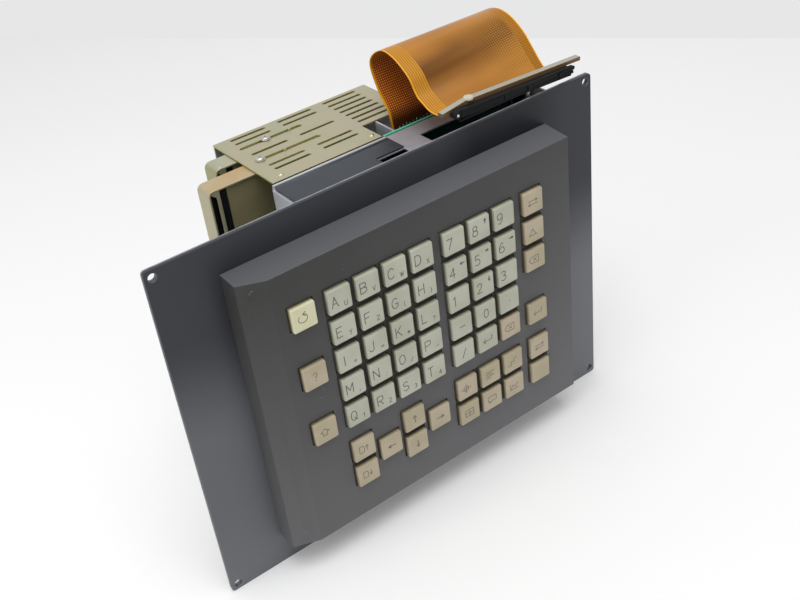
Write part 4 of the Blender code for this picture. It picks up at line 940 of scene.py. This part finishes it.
def build_carrier(place, finish, pin_finish, grip_and_shade_finish):
    """A carrier: sheet bent twice into a C, its post with a gusset, its pin, and the black grip behind it,
    whose black partly stands in for shade inside the opening.
    """
    node = place + "_card_carrier"
    (left, front, bottom), (right, back, _) = box(node)
    (card_left, _, _), (_, _, card_top) = box(place + "_card")
    sheet, bend = CARRIER_SHEET, CARRIER_BEND
    top = card_top + CARD_HEADROOM
    middle_x, middle_z = (left + right) / 2, (top + bottom) / 2
    high, low, near = top - sheet / 2, bottom + sheet / 2, left + sheet / 2
    route = np.concatenate([
        [(right, low), (middle_x, low)],
        arc((near + bend, low + bend), bend, 270, 180),
        [(near, middle_z)],
        arc((near + bend, high - bend), bend, 180, 90),
        [(middle_x, high), (right, high)],
    ])
    shapes = [bent_strip(route, sheet, front, back, 0.22)]
    post_x = left + POST_PLACE
    outline = [
        (post_x, bottom + sheet * 0.6), (post_x + POST_WIDTH, bottom + sheet * 0.6),
        (post_x + POST_WIDTH, top - sheet * 0.6),
        (left + sheet * 0.8, top - sheet * 0.6), (left + sheet * 0.8, top - sheet - 0.5),
        (post_x, top - sheet - GUSSET_REACH),
    ]
    shapes.append(prism(outline, front, front + sheet, edge=0.18))
    screw_x, slot_y, _ = box(place + "_carrier_screw").mean(0)
    shapes.append(turned(GUIDE_PIN, (screw_x + GUIDE_PIN_OFFSET, slot_y), sides=16, slot=1))
    body = NODES[node]["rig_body"]
    make_piece(node + "_sheet", shapes, [finish, pin_finish], body, 40.0, (node,))
    # Black grip behind the post: partly a card grip, partly a stand-in for shade inside the carrier's opening
    inner, behind, rear = left + sheet, front + sheet, back - 0.8
    lip, step = inner + GRIP_LIP, behind + GRIP_STEP
    post_end, last = post_x + POST_WIDTH + 0.2, card_left - 0.1
    section = [(inner, behind + 1.2), (lip, behind + 1.2), (lip, step), (post_end, step),
               (post_end, behind + 0.1), (last, behind + 0.1), (last, rear), (inner, rear)]
    grip_and_shade_block = prism(section, bottom + sheet, top - sheet, "Z", edge=0.3)
    make_piece(place + "_card_grip_and_shade", [grip_and_shade_block], [grip_and_shade_finish], body)


def recessed_head(centre, base, radius, height):
    """A pan head with a cross recess: height over a disc is a dome less the cross, by radius and angle."""
    r = np.linspace(0.04, 1.0, 12)[:, None]
    x, y = (r * spokes(48)[:, i] for i in (0, 1))
    crown = 1 - 0.35 * r ** 2 - 0.35 * r ** 8
    arm = np.maximum(np.clip(1 - np.abs(x) / 0.16, 0, 1) * (np.abs(y) < 0.58),
                     np.clip(1 - np.abs(y) / 0.16, 0, 1) * (np.abs(x) < 0.58))
    level = base + height * (crown - 0.6 * np.minimum(1, arm * 1.8))
    top = np.stack([centre[0] + x * radius, centre[1] + y * radius, level], -1)[::-1]
    foot = top[:1].copy()
    foot[..., 2] = base
    return ring_stack(np.concatenate([foot, top]))


def build_carrier_screw(place, finish):
    """A pan-head screw with its washer and shank, standing for the CAD screw."""
    node = place + "_carrier_screw"
    centre = box(node).mean(0)[:2]
    shank = [(SHANK_RADIUS, box(node)[0, 2]), (SHANK_RADIUS, SHANK_TOP)]
    shapes = [turned(WASHER, centre, sides=32), turned(shank, centre, sides=16),
              recessed_head(centre, *SCREW_HEAD)]
    make_piece(node + "_finished", shapes, [finish], NODES[node]["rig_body"], 35.0, (node,))


def build_chassis_lip(finish, shadow_strip_finish):
    """The top sheet's rear fold, rolled over the chassis's rear edge, and a black strip before the cover that
    stands in for shade in the seam.
    """
    left, right = box("rear_chassis")[0, 0] + 2.4, box("chassis_top_sheet")[1, 0]
    make_piece("chassis_rear_lip", [prism(REAR_FOLD, left, right, "X", edge=0.1)], [finish],
               smooth=60.0)
    left = box("vent_cover")[0, 0] - 0.6
    # A black strip that stands in for the shade in the seam
    strip = cushion_block((left, *SHADOW_STRIP_FRONT), (right, *SHADOW_STRIP_REAR), 0.1, steps=1)
    make_piece("cover_edge_shadow_strip", [strip], [shadow_strip_finish])


def build_side_angle_and_shadow_strip(zinc, black):
    """Strips behind the chassis's side walls: a zinc angle at the left, and at the right a black strip that
    stands in for shade.
    """
    (wall_left, _, foot), (wall_right, rear, head) = box("rear_chassis")
    for name, wall, sign, (start, end), finish, slot in (
            ("chassis_corner_angle", wall_left, 1, CORNER_ANGLE_INSET, zinc, "zinc_sheet"),
            ("chassis_side_shadow_strip", wall_right, -1, SIDE_SHADOW_STRIP_INSET, black, "black_plastic")):
        low = (wall + sign * start, rear - STRIP_DEPTH, foot + 1.5)
        high = (wall + sign * end, rear - 0.1, head - 0.5)
        make_piece(name, [cushion_block(low, high, 0.4)], [finish])


# Small details

PIN_PITCH = 2.54

# Main board: its circuits (middle, width, height, pins to a side, and the axis that those sides follow),
# then middles of cans and small capacitors, and the headers' middles with their widths
CHIPS = (
    *((96, z, 22, 8, 8, "X") for z in (62, 44, 26, 8, -10, -28)),
    *((x, -66, 8, 18, 7, "Z") for x in (-34, -12, 10, 32, 54)),
    (84, -62, 28, 28, 12, "Z"),
)
CAN_PLACES = ((74, 60), (74, 46), (74, -20), (112, -84), (100, -84))
CAN_PROFILE = ((4.0, 0), (4.2, 0.6), (4.2, 9.5), (3.9, 10.0), (3.4, 10.0), (3.3, 9.8), (0.3, 9.8))
CAPACITOR_PLACES = ((118, 62), (118, 44), (118, 26), (118, 8), (118, -10), (118, -28), (66, 30), (66, 12))
HEADERS = ((-20, 44), (34, 30), (74, 22))
HEADER_ROW = -86
FIRST_PAD = 43
PAD_COUNT = 31
PAD_ROW = 97.45
BOARD_RIM = ((26.2, 40.65, 99.3), (123.9, 42.35, 100.5))

# End board and plug: the board's upper right corner and its turn, in degrees
END_BOARD_CORNER = (145.0, 118.0)
END_BOARD_TURN = 2.3
PLUG_BLOCKS = (
    (91.4, 115.1, 41.8, 0.35, 0.2, 0.9), (91.4, 111.5, 41.8, 0.45, 0.2, 0.9),
    (52.6, 113.3, 1.3, 1.9, 0.0, 0.9), (83.5, 113.3, 0.9, 1.9, 0.0, 0.9),
    (101.0, 113.3, 1.2, 1.9, 0.0, 0.9), (125.3, 113.3, 1.6, 1.9, 0.0, 0.9),
    (135.0, 114.6, 1.6, 0.9, 1.0, 4.4), (134.6, 112.4, 1.2, 0.7, 1.0, 4.4),
    (136.6, 114.9, 0.6, 0.45, 1.4, 3.8),
)
SCREW_EYE = ((2.3, 4.6), (2.3, 0.3), (2.0, 0.0), (1.3, 0.0), (1.2, 0.5), (0.3, 0.5))
BOSS = ((2.9, -0.4), (2.9, 0.5), (2.6, 0.9), (1.2, 1.1), (0.3, 1.1))
HANGING_PIN = ((0.6, -5.2), (1.1, -4.8), (1.1, -0.6), (1.5, -0.5), (1.5, 0))
BOSS_PLACE = (61.5, 118.0)
SCREW_PLACE = (49.0, 113.2)
PIN_PLACE = (101.2, 110.9)
FIRST_CONTACT = 46
CONTACT_COUNT = 29
CONTACT_DEPTHS = (52.8, 53.6)

# Holes in the mounting plate's corners: how far out and up, radii of the rim, and its two depths
HOLE_PLACE = (140.7, 105.7)
HOLE_RIM = (2.56, 2.3, -3.02, 0.02)

# Rivets: places of the cover's, the rear carrier's with its level and size, and the inset of the cage's
COVER_RIVETS = ((22.5, 47.9), (-38.8, 47.9))
CARRIER_RIVET = (-56.8, 84.5, 98.65, 0.8, 0.5)
CAGE_RIVET_INSET = (8, 9)


def rivet(x, y, base, radius, height, axis="Z"):
    """A rivet head: a low dome whose rings follow a quarter circle."""
    bend = np.linspace(0, np.pi / 2, 5)
    profile = np.stack([radius * np.cos(bend) + 0.01, base + height * np.sin(bend)], -1)
    return turned(np.concatenate([[(radius, base - abs(height) * 0.3)], profile]), (x, y), axis, 20)


def hole_rim(centre, outer, inner, front, back, sides=32):
    """A ring through a plate: a flat section carried round a hole, so the hole's edge is truly round."""
    section = ((outer, front), (inner + 0.1, front), (inner, front + 0.1), (inner, back - 0.1),
               (inner + 0.1, back), (outer, back))
    flat = np.stack([r * spokes(sides) + centre for r, _ in section])
    rings = on_axis(flat, [y for _, y in section], "Y")
    last = (len(section) - 1) * sides
    faces = grid_faces(len(section), sides)
    faces += [[j, last + j, last + (j + 1) % sides, (j + 1) % sides] for j in range(sides)]
    return rings.reshape(-1, 3), faces, 0


def chip_shapes(x, z, width, height, pins, along, base):
    """A moulded circuit: a block with rounded edges, a dimple at pin one, and bent pins on two sides."""
    half_w, half_h = width / 2, height / 2
    foot, head = base + 0.8, base + 3.4
    dimple = ((0.7, head), (0.7, head + 0.05), (0.5, head + 0.08))
    shapes = [post(x, z, half_w, half_h, foot, head, 0.3),
              turned(dimple, (x - half_w + 1.8, z + half_h - 1.8), "Y", 12)]
    reach = height if along == "Z" else width
    for i in range(pins):
        spot = (i + 0.5) / pins * reach - reach / 2
        for sign in (-1, 1):
            pin = (x + sign * (half_w + 0.5), z + spot, 0.7, 0.3) if along == "Z" else (
                x + spot, z + sign * (half_h + 0.5), 0.3, 0.7)
            shapes.append(post(*pin, base, base + 1.8, 0.12, slot=1, steps=1))
    return shapes


def header_shapes(x, z, width, base):
    """A shrouded header: four walls and a floor of moulded plastic round two rows of pins."""
    deep, wall, rise, half = 3.6, 0.6, 8.6, width / 2
    walls = [(x, z - deep + wall, half, wall, rise), (x, z + deep - wall, half, wall, rise),
             (x - half + wall, z, wall, deep, rise), (x + half - wall, z, wall, deep, rise),
             (x, z, half, deep, 2.0)]
    shapes = [post(*place, base, base + height, 0.3) for *place, height in walls]
    count = int(width / PIN_PITCH) - 1
    for i in range(count):
        pin = x + (i - (count - 1) / 2) * PIN_PITCH
        for row in (z - PIN_PITCH / 2, z + PIN_PITCH / 2):
            shapes.append(post(pin, row, 0.32, 0.32, base + 1, base + 7, 0.12, slot=1, steps=1))
    return shapes


def build_main_board_parts(finishes):
    """Circuits, capacitors and connectors on the main board's rear face, outside the cage."""
    base = box("main_board")[1, 1]
    chips = [shape for chip in CHIPS for shape in chip_shapes(*chip, base)]
    cans = [turned(np.array(CAN_PROFILE) + (0, base), place, "Y", 28) for place in CAN_PLACES]
    cans += [post(x, z, 1.6, 2.4, base, base + 3.4, 0.9, slot=1) for x, z in CAPACITOR_PLACES]
    headers = [shape for x, width in HEADERS for shape in header_shapes(x, HEADER_ROW, width, base)]
    pads = [post(FIRST_PAD + i * PIN_PITCH, PAD_ROW, 0.7, 1.45, base - 0.02, base + 0.5, 0.1, steps=1)
            for i in range(PAD_COUNT)]
    rim = cushion_block(*BOARD_RIM, 0.15)
    for name, shapes, materials, slot, smooth in (
            ("circuits", chips, ("epoxy", "tin"), "black_plastic", 35.0),
            ("capacitors", cans, ("can", "ceramic"), "zinc_sheet", 40.0),
            ("headers", headers, ("header", "tin"), "black_plastic", 35.0),
            ("pads", pads, ("tin",), "zinc_sheet", 40.0),
            ("rim", [rim], ("glass",), "board_green", 40.0)):
        make_piece("main_board_" + name, shapes, [finishes[m] for m in materials], smooth=smooth)


def tilted(x, z):
    """A place on the end board, turned with it about its upper right corner."""
    run, rise = x - END_BOARD_CORNER[0], z - END_BOARD_CORNER[1]
    slope = math.radians(END_BOARD_TURN)
    return (END_BOARD_CORNER[0] + run * math.cos(slope) + rise * math.sin(slope),
            END_BOARD_CORNER[1] + rise * math.cos(slope) - run * math.sin(slope))


def build_end_board_details(finishes):
    """What shows along the end board: a boss, the plug's ribs and latch, its screw, and a guide pin."""
    x, z = tilted(*BOSS_PLACE)
    boss = turned(np.array(BOSS) + (0, z), (x, 6.6))
    ribs = [post(*tilted(x, z), *sizes, 0.15) for x, z, *sizes in PLUG_BLOCKS]
    place = tilted(*SCREW_PLACE)
    ribs.append(turned(SCREW_EYE, place, "Y"))
    bright = [rivet(*place, 0.5, 1.0, -0.9, axis="Y")]
    x, z = tilted(*PIN_PLACE)
    bright.append(turned(np.array(HANGING_PIN) + (0, z), (x, 2.4), "Z", 20))
    top = box("cable_socket")[1, 2]
    front, rear = CONTACT_DEPTHS
    contacts = []
    for i in range(CONTACT_COUNT):
        x = FIRST_CONTACT + i * PIN_PITCH
        low, high = (x - 0.3, front, top - 0.2), (x + 0.3, rear, top + 5.0 + i % 3 * 0.4)
        contacts.append(cushion_block(low, high, 0.15, "Z", steps=1))
    make_piece("end_board_boss", [boss], [finishes["header"]])
    make_piece("plug_ribs", ribs, [finishes["black"]])
    make_piece("plug_fixings", bright, [finishes["tin"]])
    make_piece("socket_contacts", contacts, [finishes["tin"]])


def build_rims_and_rivets(nickel):
    """Round rims of the plate's holes, and the rivets of the cover, the cage and the rear carrier."""
    rims = [hole_rim((sx * HOLE_PLACE[0], sz * HOLE_PLACE[1]), *HOLE_RIM) for sx in (-1, 1) for sz in (-1, 1)]
    aluminium = bright_plating("bare_aluminium", "7C7D80", "68696D", 0.4)
    make_piece("plate_hole_rims", rims, [aluminium], smooth=50.0)
    rivets = [rivet(*place, COVER_TOP, 1.7, 1.0) for place in COVER_RIVETS]
    bright_film = bright_plating("chromated_rivets", "D9D7B4", "B9B58A", 0.25)
    make_piece("cover_rivets", rivets, [bright_film])
    (left, _, foot), (right, rear, head) = box("card_cage")
    inset_x, inset_z = CAGE_RIVET_INSET
    heads = [rivet(x, z, rear - 0.05, 2.1, 0.9, axis="Y")
             for x in (left + inset_x, (left + right) / 2, right - inset_x)
             for z in (foot + inset_z, head - inset_z)]
    make_piece("cage_rear_rivets", heads, [nickel])
    make_piece("rear_carrier_rivet", [rivet(*CARRIER_RIVET)], [nickel], "rear_carrier")


# Assembly

def build_object():
    """Dresses every node and adds the pieces that the solids leave out."""
    enamel = baked_enamel()
    abs_plastic = moulded_abs()
    # Each keycap's third colour is its darker foot: partly dirt, partly painted shade
    cream = keycap_plastic("keycap_cream", "C1C2B1", "B7B8A5", "6F6D5E")
    beige = keycap_plastic("keycap_beige", "BFB299", "B5A98C", "6C6251")
    yellow = keycap_plastic("keycap_pale_yellow", "E4E2C0", "DCD9B2", "7C785F")
    finishes = {
        "cream": (cream, legend_ink("ink_on_cream", "4A4A42", "7E7F73"), "cream_plastic"),
        "beige": (beige, legend_ink("ink_on_beige", "6A6251", "948770"), "beige_plastic"),
        "yellow": (yellow, legend_ink("ink_on_yellow", "5A5846", "94917A"), "beige_plastic"),
    }
    zinc = zinc_plate()
    cover_film = chromate("chromated_cover", "B3AB91", "B3A67A", "ABAB8E", "A8A863", 0.62)
    gold_film = chromate("chromated_gold", "BFAE8C", "BF9E6C", "BDB290", "B1AA8C", 0.35)
    pale_film = chromate("chromated_pale", "B3B19A", "B5AB80", "A5A88E", "9D9C76", 0.5)
    nickel = bright_plating("nickel_plated_steel", "D9D6D2", "B9B4AD", 0.24)
    black = moulded_nylon("moulded_black_nylon", "0E0F10", "191A1B")
    parts = {
        "tin": bright_plating("tinned_copper", "D9DADC", "B5B7BB", 0.28),
        "black": black,
        "epoxy": moulded_nylon("moulded_epoxy_black", "232325", "2C2C2E"),
        "can": moulded_nylon("sleeved_can_blue_grey", "3A4656", "2E3946"),
        "ceramic": moulded_nylon("dipped_ceramic_tan", "B98A4E", "A87A40"),
        "header": moulded_nylon("moulded_pbt_off_white", "CFCBBB", "C2BDAB"),
        "glass": laminate("sawn_glass_epoxy_edge", "3E8E76", "357F69", "56B497"),
    }
    mask = solder_mask()
    passivated = passivated_sheet()
    stiffener = laminate("laminate_stiffener", "76593A", "664B2F", "A7A598")
    card = laminate("laminate_card", "908865", "7D7655", "B4AE86")

    build_moving_keys(finishes)
    build_function_mat(finishes)
    # The bars are the housing's ABS, coloured darker than it as painted shade between the keys
    build_key_web(moulded_nylon("key_grid_abs_painted_shade", "32322E", "3A3A36"))
    for node, radius, material, slot, *segments in (
            ("mounting_plate", 0.30, enamel, "plate_paint"),
            ("key_bezel", 0.5, abs_plastic, "bezel_plastic", 3),
            ("rear_chassis", 0.35, zinc, "zinc_sheet"),
            ("chassis_top_sheet", 0.2, passivated, "top_sheet_paint"),
            ("vent_cover", 0.2, cover_film, "chromate_sheet"),
            ("card_cage", 0.3, zinc, "zinc_sheet"),
            ("main_board", 0.15, mask, "board_green", 1),
            ("interface_board", 0.15, mask, "board_green", 1),
            ("keyboard_board", 0.15, mask, "board_green", 1),
            ("cable_plug", 0.35, black, "black_plastic"),
            ("cable_socket", 0.3, black, "black_plastic"),
            ("cable_end_board", 0.25, stiffener, "end_board_tan")):
        softened(node, radius, material, slot, *segments)
    for place, film in (("front", gold_film), ("rear", pale_film)):
        build_carrier(place, film, pale_film, black)
        build_carrier_screw(place, nickel)
        softened(place + "_card", 0.15, card, "card_brown", 1)
    build_chassis_lip(passivated, black)
    build_side_angle_and_shadow_strip(zinc, black)
    build_flat_cable([film_inside(), film_outside(), film_edge()])
    build_main_board_parts(parts)
    build_end_board_details(parts)
    build_rims_and_rivets(nickel)


# Stage and camera

def background_rays(node):
    """1 for a ray that looks at the background from the camera, in a reflection or through glass."""
    rays = node("rays")
    mirrored = node("larger", rays["Is Glossy Ray"], rays["Is Transmission Ray"])
    return node("larger", rays["Is Camera Ray"], mirrored)


def build_floor():
    """A pale floor that ends at a straight far edge; seen directly it is brighter, and keeps its shadow."""
    left, right = Vector((*FLOOR_FAR_LEFT, 0)), Vector((*FLOOR_FAR_RIGHT, 0))
    along = (right - left).normalized()
    toward = Vector((along.y, -along.x, 0))
    if toward.dot(-left) < 0:
        toward.negate()
    corners = [left - along * FLOOR_REACH, right + along * FLOOR_REACH]
    corners += [corners[1] + toward * 2 * FLOOR_REACH, corners[0] + toward * 2 * FLOOR_REACH]
    mesh = bpy.data.meshes.new("floor")
    mesh.from_pydata([(c.x, c.y, FLOOR_LEVEL) for c in corners], [], [(0, 1, 2, 3)])
    material, node, where = begin("white_laminate_floor")
    colour = node("blend", node("noise", where, 3.3), "F2F2F3", "F5F5F5")
    lift = node("product", background_rays(node), 0.11)
    mesh.materials.append(end(material, colour, 0.6, {"Emission Color": "FFFFFF", "Emission Strength": lift}))
    link(bpy.data.objects.new("floor", mesh))


def build_light():
    """A pale room and two soft lamps: one overhead in front, one from the left."""
    world = bpy.data.worlds.new("pale_room")
    world.use_nodes = True
    world.node_tree.nodes.clear()
    node = functools.partial(add, world.node_tree)
    above = node("along", node("direction"), (0.0, 0.4, 0.9))
    lit = node("glow", "FFFFFF", node("ramp", above, -0.6, 0.9, 0.15, 0.68))
    seen = node("glow", "E7E7E8", 1.0)
    node("world", node("glow choice", background_rays(node), lit, seen))
    bpy.context.scene.world = world
    for name, place, size, power in LAMPS:
        lamp = bpy.data.lights.new(name, "AREA")
        lamp.shape = "SQUARE"
        lamp.size = size
        lamp.energy = power
        item = link(bpy.data.objects.new(name, lamp))
        item.location = place
        item.rotation_euler = (-Vector(place)).to_track_quat("-Z", "Y").to_euler()


def build_camera():
    """The camera where the photograph was taken from."""
    right, up = Vector(CAMERA_RIGHT).normalized(), Vector(CAMERA_UP)
    back = right.cross(up).normalized()
    up = back.cross(right)
    data = bpy.data.cameras.new("camera")
    data.sensor_width = SENSOR_WIDTH
    data.lens = CAMERA_LENS
    data.clip_start = 0.01
    camera = link(bpy.data.objects.new("camera", data))
    turn = Matrix((right, up, back)).transposed().to_4x4()
    camera.matrix_world = Matrix.Translation(CAMERA_PLACE) @ turn
    bpy.context.scene.camera = camera


build_object()
build_floor()
build_light()
build_camera()
bpy.context.scene.view_settings.view_transform = "Standard"
